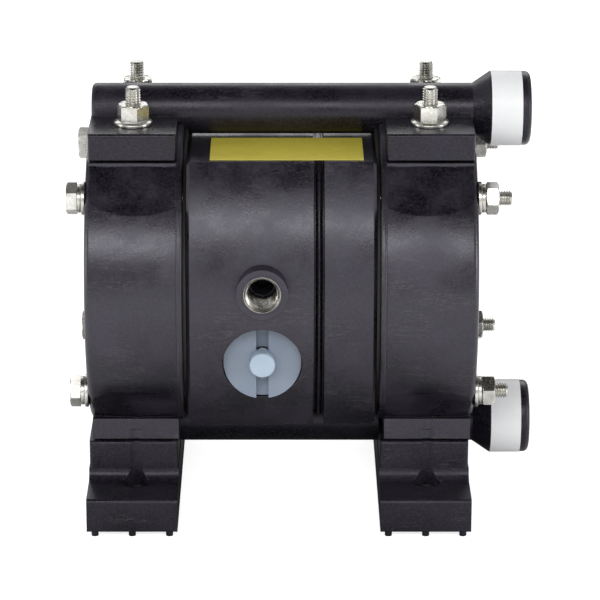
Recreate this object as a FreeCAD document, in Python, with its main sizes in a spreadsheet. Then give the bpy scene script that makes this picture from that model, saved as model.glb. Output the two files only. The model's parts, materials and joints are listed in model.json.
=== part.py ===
import FreeCAD, Part
import math
import os
import re
import Sketcher

# Air operated double diaphragm pump, in millimetres.
# +Z is up, the front is -Y, the ports open to +X. The origin is on the base plane,
# in the middle of the four foot holes. Every piece is drawn about the pump's own axis,
# a line along X through the diaphragms, and lifted by axis_height.

# Driving sizes, one cell each
sizes = {
    # whole pump
    "tube_rise": 2.25,
    "tube_clearance": 1.0,
    # air body
    "body_setback": 3.35,
    "body_bow": 17.65,
    "body_edge": 1.2,
    "split_left": 12.4,
    "spacer_thick": 4.1,
    "spacer_inset": 5.0,
    "bead_inset": 4.0,
    "bead_thick": 2.0,
    "dish_setback": 18.35,
    "dish_slope": 14.0,
    "dish_depth": 11.0,
    "transfer_radius": 2.0,
    "transfer_y": 12.0,
    # chambers
    "barrel_crown": 0.7,
    "barrel_edge": 2.5,
    "barrel_rim": 0.5,
    "chamber_depth": 37.4,
    "end_dome": 1.5,
    "facet_trim": 0.95,
    "neck_drop": 1.4,
    "neck_trim": 1.05,
    "flange_half_width": 17.0,
    "flange_setback": 1.0,
    "flange_margin": 15.2,
    "flange_thick": 8.5,
    "lip_reach": 0.4,
    "lip_thick": 1.2,
    "joint_gap": 1.0,
    "recess_inner": 20.0,
    "recess_margin": 1.0,
    "recess_depth": 4.0,
    "rib_thick": 2.4,
    "rib_setback": 0.6,
    "cavity_wall": 17.35,
    "cavity_step": 4.0,
    "cavity_slope": 25.0,
    "cavity_depth": 22.0,
    "ball_bore": 7.5,
    # diaphragms and rod
    "membrane_thick": 1.6,
    "membrane_clamp": 6.0,
    "roll_width": 13.0,
    "roll_inset": 1.0,
    "roll_height": 4.0,
    "rod_radius": 6.0,
    "rod_end_radius": 4.0,
    "rod_waist_radius": 4.8,
    "rod_waist_half": 5.0,
    "rod_end_reach": 1.4,
    "rod_chamfer": 0.6,
    "disc_inset": 4.0,
    "inner_disc_thick": 4.5,
    "disc_step": 1.0,
    "outer_disc_thick": 6.0,
    "disc_rounding": 2.0,
    "rod_nut_radius": 7.5,
    "rod_nut_thick": 4.5,
    "bush_radius": 8.0,
    "bush_length": 9.0,
    "rod_seal_wire": 0.9,
    # valve seats and balls
    "ball_radius": 6.5,
    "seat_radius": 10.0,
    "seat_bore": 5.3,
    "seat_recess": 3.3,
    "seat_groove": 1.6,
    "seat_ring_wire": 0.7,
    "ball_gap": 0.5,
    "ball_lift": 3.5,
    "ball_stop_thick": 3.0,
    "ball_stop_half": 1.2,
    # manifolds
    "tube_radius": 10.0,
    "tube_bore": 6.5,
    "tube_end_setback": 1.1,
    "tube_end_round": 2.0,
    "upper_boss_reach": 22.2,
    "lower_boss_reach": 24.4,
    "boss_length": 16.0,
    "flare_length": 6.8,
    "boss_radius": 14.6,
    "boss_round": 2.2,
    "port_radius": 7.5,
    "port_depth": 15.0,
    "band_setback": 3.6,
    "band_width": 12.0,
    "band_thick": 0.2,
    "upper_block_height": 10.4,
    "block_round": 1.2,
    "upper_pocket_height": 14.8,
    "lower_flange_height": 11.4,
    "low_bore": 4.5,
    "low_bore_roof": 1.5,
    "well_radius": 5.5,
    # feet
    "foot_half_width": 17.8,
    "lower_half_width": 17.5,
    "foot_shift": 1.0,
    "foot_reach": 22.8,
    "foot_cove": 4.3,
    "foot_height": 13.4,
    "peg_drop": 2.1,
    "foot_round": 1.6,
    "foot_wall": 4.0,
    "foot_roof": 8.4,
    "foot_hole_inset": 18.0,
    "foot_hole_radius": 3.4,
    "foot_counterbore": 5.3,
    "foot_plate": 3.4,
    "foot_groove": 4.0,
    "foot_boss_radius": 7.2,
    "peg_radius": 1.4,
    "peg_inset": 0.4,
    "peg_spread": 14.6,
    # fasteners
    "bolt_radius": 3.0,
    "bolt_hole": 3.3,
    "tie_setback": 6.7714,
    "tie_head_radius": 6.35,
    "tie_head_thick": 4.2,
    "tie_reach": 5.1,
    "washer_radius": 6.5,
    "washer_thick": 1.4,
    "spring_washer_radius": 5.6,
    "spring_washer_thick": 1.6,
    "spring_washer_slot": 0.8,
    "nut_radius": 6.35,
    "nut_thick": 5.0,
    "nut_clearance": 0.05,
    "stud_clearance": 2.4,
    "stud_depth": 14.0,
    "upper_stud_reach": 14.9,
    "lower_stud_tip": 2.3,
    "flange_nut_thick": 8.2,
    "flange_nut_radius": 7.6,
    "flange_nut_rim": 1.3,
    "nut_pocket_radius": 8.3,
    "nut_seat_depth": 2.6,
    "thread_chamfer": 0.8,
    # air ports
    "valve_x": -7.4,
    "inlet_height": 8.2,
    "inlet_rise": 5.0,
    "inlet_boss_radius": 10.0,
    "insert_radius": 7.8,
    "insert_bore": 5.75,
    "insert_mouth": 7.6,
    "insert_length": 14.0,
    "air_bore": 4.5,
    "air_drop_inset": 3.5,
    "air_drop_radius": 3.0,
    # main valve, reset cap and button
    "valve_gap": 5.25,
    "valve_clearance": 2.15,
    "cap_sink": 7.0,
    "cap_radius": 15.05,
    "cap_clearance": 0.35,
    "cap_thick": 6.0,
    "spigot_radius": 12.0,
    "spigot_length": 4.0,
    "cap_slot_half": 2.4,
    "cap_slot_depth": 3.8,
    "button_radius": 4.95,
    "button_proud": 5.0,
    "button_sunk": 1.5,
    "button_bore_depth": 6.5,
    "stem_radius": 2.0,
    "stem_hole": 2.08,
    "stem_length": 10.0,
    "button_travel": 3.5,
    "tip_gap": 0.3,
    "clip_radius": 3.6,
    "clip_thick": 0.6,
    "spring_radius": 3.5,
    "spring_wire": 0.35,
    "spring_pitch": 1.2,
    "sleeve_radius": 11.0,
    "sleeve_bore": 7.0,
    "sleeve_groove_radius": 9.4,
    "sleeve_groove_half": 3.0,
    "sleeve_end_land": 6.0,
    "sleeve_port_radius": 1.3,
    "spool_radius": 6.95,
    "spool_waist": 5.0,
    "spool_back_gap": 12.7,
    "spool_land": 9.0,
    "spool_ring_wire": 0.5,
    # running and sliding clearances
    "slide_fit": 0.05,
    "easy_fit": 0.6,
    # sticker
    "sticker_left": 27.6,
    "sticker_right": 31.6,
    "sticker_inset": 2.4,
    "sticker_back": 5.0,
    "sticker_thick": 0.25,
}

# Lengths that follow from the sizes above
lengths = {
    "valve_drop": "rod_radius + easy_fit + sleeve_radius + valve_gap",
    "tie_offset": "valve_drop + sleeve_radius + bolt_hole + valve_clearance",
    "barrel_radius": "sqrt(2) * tie_offset + tie_setback",
    "port_height": "barrel_radius + tube_rise",
    "body_half_height": "port_height - tube_radius - tube_clearance",
    "body_depth": "barrel_radius - body_setback",
    "body_face_radius": "barrel_radius + body_bow",
    "body_top_depth": "body_depth - body_face_radius + sqrt(body_face_radius^2 - body_half_height^2)",
    "split_right": "split_left + spacer_thick",
    "body_half": "split_right + bush_length + dish_depth",
    "dish_radius": "barrel_radius - dish_setback",
    "dish_floor_radius": "dish_radius - dish_slope",
    "chamber_start": "body_half + membrane_thick",
    "chamber_end": "chamber_start + chamber_depth",
    "barrel_side": "barrel_radius - barrel_crown",
    "port_offset": "chamber_end - flange_setback - flange_half_width",
    "facet_distance": "barrel_radius - facet_trim",
    "neck_top": "body_half_height - neck_drop",
    "neck_bottom": "barrel_radius - neck_trim",
    "cavity_radius": "barrel_radius - cavity_wall",
    "cavity_floor_radius": "cavity_radius - cavity_slope",
    "recess_outer": "cavity_radius + recess_margin",
    "membrane_radius": "cavity_radius + membrane_clamp",
    "roll_outer": "cavity_radius - roll_inset",
    "roll_inner": "roll_outer - roll_width",
    "inner_disc_radius": "roll_inner - disc_inset",
    "outer_disc_radius": "inner_disc_radius - disc_step",
    "crown_run": "chamber_depth - barrel_edge - barrel_rim",
    "crown_radius": "((crown_run / 2)^2 + barrel_crown^2) / (2 * barrel_crown)",
    "dome_reach": "recess_inner + recess_depth",
    "dome_radius": "(dome_reach^2 + end_dome^2) / (2 * end_dome)",
    "flange_inner": "port_offset - flange_half_width",
    "upper_plane": "neck_top + joint_gap",
    "lower_plane": "neck_bottom + joint_gap",
    "seat_height": "seat_recess + joint_gap",
    "ball_rest": "sqrt(ball_radius^2 - seat_bore^2) + ball_gap",
    "in_ball_height": "lower_plane - seat_height - ball_rest",
    "out_ball_height": "upper_plane + ball_rest",
    "ball_stop_height": "in_ball_height - ball_radius - ball_lift - ball_gap",
    "dish_floor": "body_half - dish_depth",
    "disc_seat": "body_half - inner_disc_thick",
    "rod_nut_end": "chamber_start + outer_disc_thick + rod_nut_thick",
    "spring_washer_end": "chamber_end + washer_thick + spring_washer_thick",
    "tie_end": "spring_washer_end + nut_thick + tie_reach",
    "cap_face": "body_depth - cap_sink",
    "valve_half": "cap_face - cap_thick - spigot_length",
    "inlet_face": "body_depth + inlet_rise",
    "air_drop_y": "valve_half - air_drop_inset",
    "air_bore_end": "air_drop_y - air_bore",
    "sleeve_groove_pitch": "(valve_half - sleeve_end_land) / 2",
    "spool_front": "cap_face - stem_tip - button_travel - tip_gap",
    "spool_length": "spool_front + valve_half - spool_back_gap",
    "stem_tip": "button_sunk + stem_length",
    "tube_end": "chamber_end - tube_end_setback",
    "upper_boss_end": "chamber_end + upper_boss_reach",
    "lower_boss_end": "chamber_end + lower_boss_reach",
    "block_top": "upper_plane + upper_block_height",
    "flange_bottom": "lower_plane + lower_flange_height",
    "low_bore_height": "lower_plane + low_bore + low_bore_roof",
    "stud_y": "tube_radius + flange_nut_radius + stud_clearance",
    "flange_half_depth": "stud_y + flange_margin",
    "upper_stud_top": "block_top + upper_stud_reach",
    "nut_seat": "flange_bottom + nut_seat_depth",
    "lower_stud_bottom": "nut_seat + flange_nut_thick + lower_stud_tip",
    "foot_depth": "flange_half_depth + foot_reach",
    "foot_hole_y": "foot_depth - foot_hole_inset",
    "foot_top": "flange_bottom + foot_cove",
    "foot_counterbore_floor": "foot_top + foot_plate",
    "foot_groove_top": "neck_bottom - foot_groove",
    "foot_bottom": "foot_top + foot_height",
    "axis_height": "foot_bottom + peg_drop",
    "sticker_front": "body_top_depth - sticker_inset",
}

doc = FreeCAD.newDocument("diaphragm_pump")
sheet = doc.addObject("Spreadsheet::Sheet", "Sizes")
reader = doc.addObject("App::FeaturePython", "Reader")
nodes = []

AROUND = 360
CLEAR = 8


def fill_sheet():
    for row, (alias, number) in enumerate(sizes.items(), start=1):
        sheet.set(f"A{row}", alias)
        sheet.set(f"B{row}", str(number))
        sheet.setAlias(f"B{row}", alias)
    doc.recompute()


def formula(text):
    """An expression of the document, with every size name pointed at its cell."""
    def spell(match):
        word = match.group()
        if word in lengths:
            return "(" + formula(lengths[word]) + ")"
        return "Sizes." + word if word in sizes else word
    return re.sub(r"[A-Za-z_]\w*", spell, str(text))


def number(text):
    return float(reader.evalExpression(formula(text)))


def bind(feature, **values):
    for name, text in values.items():
        feature.setExpression(name, formula(text))


def put(feature, at, rotation=FreeCAD.Rotation()):
    feature.Placement = FreeCAD.Placement(FreeCAD.Vector(), rotation)
    for axis, text in zip("xyz", at):
        feature.setExpression("Placement.Base." + axis, formula(text))


# Turns that lay a feature's own Z axis along X, Y or Z
ALONG = {
    "x": FreeCAD.Rotation(FreeCAD.Vector(0, 1, 0), 90),
    "y": FreeCAD.Rotation(FreeCAD.Vector(1, 0, 0), -90),
    "z": FreeCAD.Rotation(),
}


def new_body(label, at=(0, 0, 0)):
    """A body whose own origin lies at a point given from the pump's axis."""
    body = doc.addObject("PartDesign::Body", label)
    put(body, (at[0], at[1], f"axis_height + ({at[2]})"))
    return body


def keep(piece, label):
    """List a finished piece as a node of the assembly."""
    piece.Label = label
    nodes.append(piece)
    return piece


# Sketches, and the features made from them
def find_plane(body, role):
    return next(feature for feature in body.Origin.OriginFeatures if feature.Role == role)


def arc_between(start, end, bend):
    """Circle arc from start to end; a positive bend turns left on the way."""
    chord = end - start
    side = FreeCAD.Vector(-chord.y, chord.x, 0).normalize()
    height = math.sqrt(max(bend ** 2 - (chord.Length / 2) ** 2, 0))
    centre = (start + end) * 0.5 + side * math.copysign(height, bend)
    first, last = (start, end) if bend > 0 else (end, start)
    angles = [math.atan2(point.y - centre.y, point.x - centre.x) for point in (first, last)]
    circle = Part.Circle(centre, FreeCAD.Vector(0, 0, 1), abs(bend))
    return Part.ArcOfCircle(circle, *angles)


def hold_corner(sketch, edge, end, across, up):
    """Tie one end of an edge to its place, measured from the sketch's origin."""
    for kind, text, axis in (("DistanceX", across, -2), ("DistanceY", up, -1)):
        if str(text) == "0":
            sketch.addConstraint(Sketcher.Constraint("PointOnObject", edge, end, axis))
        else:
            index = sketch.addConstraint(Sketcher.Constraint(kind, -1, 1, edge, end, number(text)))
            sketch.setExpression(f"Constraints[{index}]", formula(text))


def outline(body, plane, corners, lift=0):
    """Closed sketch through the corners; a corner's third value bends the side after it."""
    sketch = body.newObject("Sketcher::SketchObject", body.Name + "_outline")
    sketch.AttachmentSupport = [(find_plane(body, plane), "")]
    sketch.MapMode = "FlatFace"
    sketch.setExpression("AttachmentOffset.Base.z", formula(lift))
    points = [FreeCAD.Vector(number(corner[0]), number(corner[1]), 0) for corner in corners]
    ends = []
    for index, corner in enumerate(corners):
        start = points[index]
        end = points[(index + 1) % len(points)]
        if len(corner) == 2:
            sketch.addGeometry(Part.LineSegment(start, end))
            ends.append((1, 2))
            continue
        bend = number(corner[2])
        sketch.addGeometry(arc_between(start, end, bend))
        ends.append((1, 2) if bend > 0 else (2, 1))
    for index, corner in enumerate(corners):
        following = (index + 1) % len(corners)
        sketch.addConstraint(
            Sketcher.Constraint("Coincident", index, ends[index][1], following, ends[following][0]))
        hold_corner(sketch, index, ends[index][0], corner[0], corner[1])
    for index, corner in enumerate(corners):
        if len(corner) == 3:
            radius = abs(number(corner[2]))
            place = sketch.addConstraint(Sketcher.Constraint("Radius", index, radius))
            sketch.setExpression(f"Constraints[{place}]", formula(f"abs({corner[2]})"))
    return sketch


def pad(body, sketch, length):
    feature = body.newObject("PartDesign::Pad", body.Name + "_pad")
    feature.Profile = sketch
    bind(feature, Length=length)
    return feature


def pocket(body, sketch, length):
    """Cut from the sketch's plane along its normal."""
    feature = body.newObject("PartDesign::Pocket", body.Name + "_pocket")
    feature.Profile = sketch
    feature.Reversed = True
    bind(feature, Length=length)
    return feature


def turn(body, axis, corners):
    """Revolve corners given as (along, radius) for x, or (radius, along) for y and z."""
    plane = "XZ_Plane" if axis == "z" else "XY_Plane"
    sketch = outline(body, plane, corners)
    feature = body.newObject("PartDesign::Revolution", body.Name + "_turned")
    feature.Profile = sketch
    feature.ReferenceAxis = (sketch, ["H_Axis" if axis == "x" else "V_Axis"])
    feature.Angle = AROUND
    return feature


def cylinder(body, cut, axis, radius, length, at):
    kind = "Subtractive" if cut else "Additive"
    feature = body.newObject(f"PartDesign::{kind}Cylinder", body.Name + "_cylinder")
    bind(feature, Radius=radius, Height=length)
    put(feature, at, ALONG[axis])
    return feature


def cone(body, cut, axis, near_radius, far_radius, length, at):
    kind = "Subtractive" if cut else "Additive"
    feature = body.newObject(f"PartDesign::{kind}Cone", body.Name + "_cone")
    bind(feature, Radius1=near_radius, Radius2=far_radius, Height=length)
    put(feature, at, ALONG[axis])
    return feature


def block(body, cut, low, high):
    """Box between two corners."""
    kind = "Subtractive" if cut else "Additive"
    feature = body.newObject(f"PartDesign::{kind}Box", body.Name + "_block")
    spans = [f"({top}) - ({bottom})" for bottom, top in zip(low, high)]
    bind(feature, Length=spans[0], Width=spans[1], Height=spans[2])
    put(feature, low)
    return feature


def hexagon(body, axis, radius, length, at):
    feature = body.newObject("PartDesign::AdditivePrism", body.Name + "_hexagon")
    feature.Polygon = 6
    bind(feature, Circumradius=radius, Height=length)
    put(feature, at, ALONG[axis])
    return feature


def dress(body, kind, size, wanted):
    """Fillet or chamfer the edges of the body's last feature that wanted() picks."""
    doc.recompute()
    base = body.Tip
    names = [f"Edge{index}" for index, edge in enumerate(base.Shape.Edges, start=1) if wanted(edge)]
    feature = body.newObject("PartDesign::" + kind, body.Name + "_" + kind.lower())
    feature.Base = (base, names)
    bind(feature, **{"Radius" if kind == "Fillet" else "Size": size})
    return feature


def group(label, members):
    """Several separate solids that are one node."""
    compound = doc.addObject("Part::Compound", label)
    compound.Links = members
    return keep(compound, label)


def mirror(source, label):
    """The same piece for the other side of the pump."""
    piece = doc.addObject("Part::Mirroring", label)
    piece.Source = source
    piece.Normal = FreeCAD.Vector(1, 0, 0)
    return keep(piece, label)


SIGNS = (1, -1)
SIDES = {"right": 1, "left": -1}
TIE_CORNERS = [(y, z) for y in SIGNS for z in SIGNS]
STUD_PLACES = [(x, y) for x in SIGNS for y in SIGNS]


# Air body: two sections and the plate between them
def body_outline(body, start, inset):
    """Section of the air body: flat top and bottom, bowed front and back."""
    up = f"(body_half_height - ({inset}))"
    radius = f"(body_face_radius - ({inset}))"
    out = f"(body_depth - ({inset}) - {radius} + sqrt({radius}^2 - {up}^2))"
    corners = [(f"-{out}", f"-{up}"), (out, f"-{up}", radius), (out, up), (f"-{out}", up, radius)]
    return outline(body, "YZ_Plane", corners, lift=start)


def drill_body(body, start, end):
    """Tie bolt holes and air transfer holes that run through every piece of the body."""
    length = f"({end}) - ({start})"
    for y, z in TIE_CORNERS:
        cylinder(body, True, "x", "bolt_hole", length, (start, f"{y} * tie_offset", f"{z} * tie_offset"))
    for y in SIGNS:
        cylinder(body, True, "x", "transfer_radius", length, (start, f"{y} * transfer_y", "-valve_drop"))
    cylinder(body, True, "x", "rod_radius + easy_fit", length, (start, 0, 0))


def chamfer_outer_edge(body, place):
    """Break the edge of the face that meets a chamber."""
    x = number(place)
    near = 0.01
    dress(body, "Chamfer", "body_edge",
          lambda edge: all(abs(vertex.X - x) < near for vertex in edge.Vertexes))


def drill_air_port(body, side):
    """Boss, insert seat and air way of the inlet (side -1) or the exhaust (side 1)."""
    face = "inlet_face"
    start = f"-{face}" if side < 0 else "body_depth - insert_length"
    boss_length = f"{face} - (body_depth - insert_length)"
    cylinder(body, False, "y", "inlet_boss_radius", boss_length, ("valve_x", start, "inlet_height"))
    seat = f"-{face}" if side < 0 else f"{face} - insert_length"
    cylinder(body, True, "y", "insert_radius + slide_fit", "insert_length", ("valve_x", seat, "inlet_height"))
    bore = f"-{face}" if side < 0 else "air_bore_end"
    cylinder(body, True, "y", "air_bore", f"{face} - air_bore_end", ("valve_x", bore, "inlet_height"))
    cylinder(body, True, "z", "air_drop_radius", "valve_drop + inlet_height",
             ("valve_x", f"{side} * air_drop_y", "-valve_drop"))


def bore_valve(body):
    """Bore for the main valve's sleeve, with a cap seat at each end."""
    front = ("valve_x", "-inlet_face", "-valve_drop")
    cylinder(body, True, "y", "sleeve_radius + slide_fit", "2 * inlet_face", front)
    spigot_start = "cap_face - cap_thick - spigot_length"
    for side in SIGNS:
        seat = "cap_face - cap_thick" if side > 0 else "-inlet_face"
        length = "inlet_face - (cap_face - cap_thick)"
        cylinder(body, True, "y", "cap_radius + cap_clearance", length, ("valve_x", seat, "-valve_drop"))
        spigot = spigot_start if side > 0 else "-inlet_face"
        cylinder(body, True, "y", "spigot_radius + slide_fit", f"inlet_face - ({spigot_start})",
                 ("valve_x", spigot, "-valve_drop"))


def make_center_body():
    body = new_body("center_body")
    pad(body, body_outline(body, "-body_half", 0), "body_half + split_left")
    chamfer_outer_edge(body, "-body_half")
    for side in SIGNS:
        drill_air_port(body, side)
    bore_valve(body)
    cone(body, True, "x", "dish_radius", "dish_floor_radius", "dish_depth", ("-body_half", 0, 0))
    cylinder(body, True, "x", "bush_radius + slide_fit", "bush_length + 2 * rod_seal_wire", ("-dish_floor", 0, 0))
    cylinder(body, True, "x", "bush_radius + slide_fit", "2 * rod_seal_wire",
             ("split_left - 2 * rod_seal_wire", 0, 0))
    drill_body(body, "-body_half", "split_left")
    return keep(body, "center_body")


def make_side_section():
    body = new_body("side_section")
    pad(body, body_outline(body, "split_right", 0), "body_half - split_right")
    chamfer_outer_edge(body, "body_half")
    cone(body, True, "x", "dish_floor_radius", "dish_radius", "dish_depth", ("dish_floor", 0, 0))
    cylinder(body, True, "x", "bush_radius + slide_fit", "bush_length", ("dish_floor - bush_length", 0, 0))
    drill_body(body, "split_right", "body_half")
    return keep(body, "side_section")


def make_spacer_plate():
    """Plate in the groove, with a raised bead along the middle of its edge."""
    body = new_body("spacer_plate")
    pad(body, body_outline(body, "split_left", "spacer_inset"), "spacer_thick")
    pad(body, body_outline(body, "split_left + (spacer_thick - bead_thick) / 2", "bead_inset"), "bead_thick")
    drill_body(body, "split_left", "split_right")
    return keep(body, "spacer_plate")


# Liquid chambers
def barrel_corners():
    """Half section of the barrel: domed hub, flat end, rounded edge and crowned side."""
    return [
        ("chamber_start", 0),
        ("chamber_end + end_dome", 0, "dome_radius"),
        ("chamber_end", "dome_reach"),
        ("chamber_end", "barrel_side - barrel_edge", "barrel_edge"),
        ("chamber_end - barrel_edge", "barrel_side", "crown_radius"),
        ("chamber_start + barrel_rim", "barrel_side"),
        ("chamber_start", "barrel_side - barrel_rim"),
    ]


def trim_neck(body):
    """Flat planes above and below the barrel, and a sloping facet at each shoulder."""
    reach = "(barrel_radius + end_dome + body_edge)"
    length = f"chamber_end + {CLEAR} - flange_inner"
    cross = f"(sqrt(2) * facet_distance - {reach})"
    for y in SIGNS:
        for z in SIGNS:
            corners = [(f"{y} * {cross}", f"{z} * {reach}"), (f"{y} * {reach}", f"{z} * {cross}"),
                       (f"{y} * {reach}", f"{z} * {reach}")]
            pocket(body, outline(body, "YZ_Plane", corners, lift="flange_inner"), length)
    far = f"chamber_end + {CLEAR}"
    block(body, True, ("flange_inner", f"-{reach}", "neck_top"), (far, reach, reach))
    block(body, True, ("flange_inner", f"-{reach}", f"-{reach}"), (far, reach, "-neck_bottom"))


def rib_end(body):
    """Ring-shaped recess in the end face, crossed by radial ribs."""
    far = f"chamber_end + {CLEAR}"
    corners = [("chamber_end - recess_depth", "recess_inner"), (far, "recess_inner"), (far, "recess_outer"),
               ("chamber_end - recess_depth", "recess_outer")]
    sketch = outline(body, "XY_Plane", corners)
    groove = body.newObject("PartDesign::Groove", "end_recess")
    groove.Profile = sketch
    groove.ReferenceAxis = (sketch, ["H_Axis"])
    groove.Angle = AROUND
    low = ("chamber_end - recess_depth - rib_setback", "-rib_thick / 2", "recess_inner - rib_setback")
    high = ("chamber_end - rib_setback", "rib_thick / 2", "recess_outer + rib_setback")
    rib = block(body, False, low, high)
    ribs = body.newObject("PartDesign::PolarPattern", "end_ribs")
    ribs.Originals = [rib]
    ribs.Axis = (find_plane(body, "X_Axis"), [""])
    ribs.Angle = AROUND
    ribs.Occurrences = 8
    body.Tip = ribs


def hollow_chamber(body):
    """Diaphragm space, ball bores, seat recesses and the stop above the inlet ball."""
    cylinder(body, True, "x", "cavity_radius", "cavity_step", ("chamber_start", 0, 0))
    cone(body, True, "x", "cavity_radius", "cavity_floor_radius", "cavity_depth - cavity_step",
         ("chamber_start + cavity_step", 0, 0))
    bore_start = "(cavity_floor_radius - cavity_step)"
    cylinder(body, True, "z", "ball_bore", f"neck_top - {bore_start}", ("port_offset", 0, bore_start))
    cylinder(body, True, "z", "ball_bore", f"neck_bottom - {bore_start}", ("port_offset", 0, "-neck_bottom"))
    seat = "seat_radius + slide_fit"
    cylinder(body, True, "z", seat, "seat_recess", ("port_offset", 0, "neck_top - seat_recess"))
    cylinder(body, True, "z", seat, "seat_recess", ("port_offset", 0, "-neck_bottom"))
    low = ("port_offset - ball_bore - slide_fit", "-ball_stop_half", "-ball_stop_height")
    high = ("port_offset + ball_bore + slide_fit", "ball_stop_half", "ball_stop_thick - ball_stop_height")
    block(body, False, low, high)


def make_chambers():
    body = new_body("right_chamber")
    turn(body, "x", barrel_corners())
    trim_neck(body)
    rib_end(body)
    flange_low = ("flange_inner", "-flange_half_depth", "-neck_bottom")
    flange_high = ("port_offset + flange_half_width", "flange_half_depth", "flange_thick - neck_bottom")
    block(body, False, flange_low, flange_high)
    lip_low = ("flange_inner", "-(flange_half_depth + lip_reach)", "neck_top - lip_thick")
    lip_high = ("port_offset + flange_half_width", "flange_half_depth + lip_reach", "neck_top")
    block(body, False, lip_low, lip_high)
    hollow_chamber(body)
    for y in SIGNS:
        stud_y = f"{y} * stud_y"
        cylinder(body, True, "z", "bolt_radius", "stud_depth", ("port_offset", stud_y, "neck_top - stud_depth"))
        cylinder(body, True, "z", "bolt_radius", "stud_depth", ("port_offset", stud_y, "-neck_bottom"))
        cylinder(body, True, "z", "foot_counterbore", "neck_bottom - foot_groove_top",
                 ("port_offset", f"{y} * foot_hole_y", "-neck_bottom"))
    for y, z in TIE_CORNERS:
        cylinder(body, True, "x", "bolt_hole", "chamber_depth + end_dome",
                 ("chamber_start", f"{y} * tie_offset", f"{z} * tie_offset"))
    for z in SIGNS:
        cylinder(body, True, "x", "tube_radius + easy_fit", "flange_inner - chamber_start",
                 ("chamber_start", 0, f"{z} * port_height"))
    keep(body, "right_chamber")
    mirror(body, "left_chamber")


# Diaphragms, rod and discs
def make_diaphragms():
    """Thin membrane with one roll between its clamped rim and its clamped middle."""
    roll = "(((roll_outer - roll_inner) / 2)^2 + roll_height^2) / (2 * roll_height)"
    bore = "rod_end_radius + slide_fit"
    body = new_body("right_diaphragm")
    turn(body, "x", [
        ("body_half", bore),
        ("body_half", "roll_inner", roll),
        ("body_half", "roll_outer"),
        ("body_half", "membrane_radius"),
        ("chamber_start", "membrane_radius"),
        ("chamber_start", "roll_outer", f"-({roll})"),
        ("chamber_start", "roll_inner"),
        ("chamber_start", bore),
    ])
    keep(body, "right_diaphragm")
    mirror(body, "left_diaphragm")


def make_center_rod():
    """Rod with a pilot waist in the middle and a thinner threaded end at each side."""
    half = [
        ("rod_waist_half", "rod_waist_radius"),
        ("rod_waist_half + rod_radius - rod_waist_radius", "rod_radius"),
        ("disc_seat", "rod_radius"),
        ("disc_seat", "rod_end_radius"),
        ("rod_nut_end + rod_end_reach - rod_chamfer", "rod_end_radius"),
        ("rod_nut_end + rod_end_reach", "rod_end_radius - rod_chamfer"),
        ("rod_nut_end + rod_end_reach", 0),
    ]
    other = [(f"-({along})", radius) for along, radius in reversed(half)]
    body = new_body("center_rod")
    turn(body, "x", other + half)
    keep(body, "center_rod")


def make_discs():
    bore = "rod_end_radius + slide_fit"
    inner = new_body("right_inner_disc")
    turn(inner, "x", [
        ("disc_seat", bore),
        ("body_half", bore),
        ("body_half", "inner_disc_radius - disc_rounding"),
        ("body_half - disc_rounding", "inner_disc_radius", "disc_rounding"),
        ("disc_seat + disc_rounding", "inner_disc_radius - disc_rounding"),
        ("disc_seat", "rod_radius * 2"),
    ])
    keep(inner, "right_inner_disc")
    mirror(inner, "left_inner_disc")
    far = "chamber_start + outer_disc_thick"
    outer = new_body("right_outer_disc")
    turn(outer, "x", [
        ("chamber_start", bore),
        (far, bore),
        (far, "rod_nut_radius + disc_rounding"),
        ("chamber_start + disc_rounding", "outer_disc_radius"),
        ("chamber_start", "outer_disc_radius - disc_rounding"),
    ])
    keep(outer, "right_outer_disc")
    mirror(outer, "left_outer_disc")
    nuts = []
    for side in SIGNS:
        body = new_body("rod_nut")
        start = far if side > 0 else "-rod_nut_end"
        hexagon(body, "x", "rod_nut_radius", "rod_nut_thick", (start, 0, 0))
        cylinder(body, True, "x", bore, "rod_nut_thick", (start, 0, 0))
        nuts.append(body)
    group("rod_nuts", nuts)


def make_rod_guides():
    bushes = []
    seals = []
    for side in SIGNS:
        bush = new_body("rod_bush")
        start = "dish_floor - bush_length" if side > 0 else "-dish_floor"
        cylinder(bush, False, "x", "bush_radius", "bush_length", (start, 0, 0))
        cylinder(bush, True, "x", "rod_radius + slide_fit", "bush_length", (start, 0, 0))
        bushes.append(bush)
        inside = "split_left - rod_seal_wire" if side > 0 else "bush_length + rod_seal_wire - dish_floor"
        seals.append(ring("rod_seal", "x", "rod_radius + rod_seal_wire + 2 * slide_fit", "rod_seal_wire",
                          (inside, 0, 0)))
    group("rod_bushes", bushes)
    group("rod_seals", seals)


def ring(label, axis, radius, wire, at):
    """Plain torus, such as an O-ring."""
    torus = doc.addObject("Part::Torus", label)
    bind(torus, Radius1=radius, Radius2=wire)
    put(torus, (at[0], at[1], f"axis_height + ({at[2]})"), ALONG[axis])
    return torus


# Seats and balls
def seat_places():
    """Column side and the height of the underside of each seat."""
    lower = "-lower_plane"
    upper = "neck_top - seat_recess"
    return [(f"{side} * port_offset", height) for side in SIGNS for height in (lower, upper)]


def make_seats():
    seats = []
    rings = []
    middle = "seat_height / 2"
    for x, height in seat_places():
        seat = new_body("seat", (x, 0, height))
        turn(seat, "z", [
            ("seat_bore", 0),
            ("seat_radius", 0),
            ("seat_radius", f"{middle} - seat_groove / 2"),
            ("seat_radius - seat_groove", f"{middle} - seat_groove / 2"),
            ("seat_radius - seat_groove", f"{middle} + seat_groove / 2"),
            ("seat_radius", f"{middle} + seat_groove / 2"),
            ("seat_radius", "seat_height"),
            ("seat_bore", "seat_height"),
        ])
        seats.append(seat)
        rings.append(ring("seat_ring", "z", "seat_radius - seat_ring_wire", "seat_ring_wire",
                          (x, 0, f"{height} + {middle}")))
    group("ball_seats", seats)
    group("seat_o_rings", rings)


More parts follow.
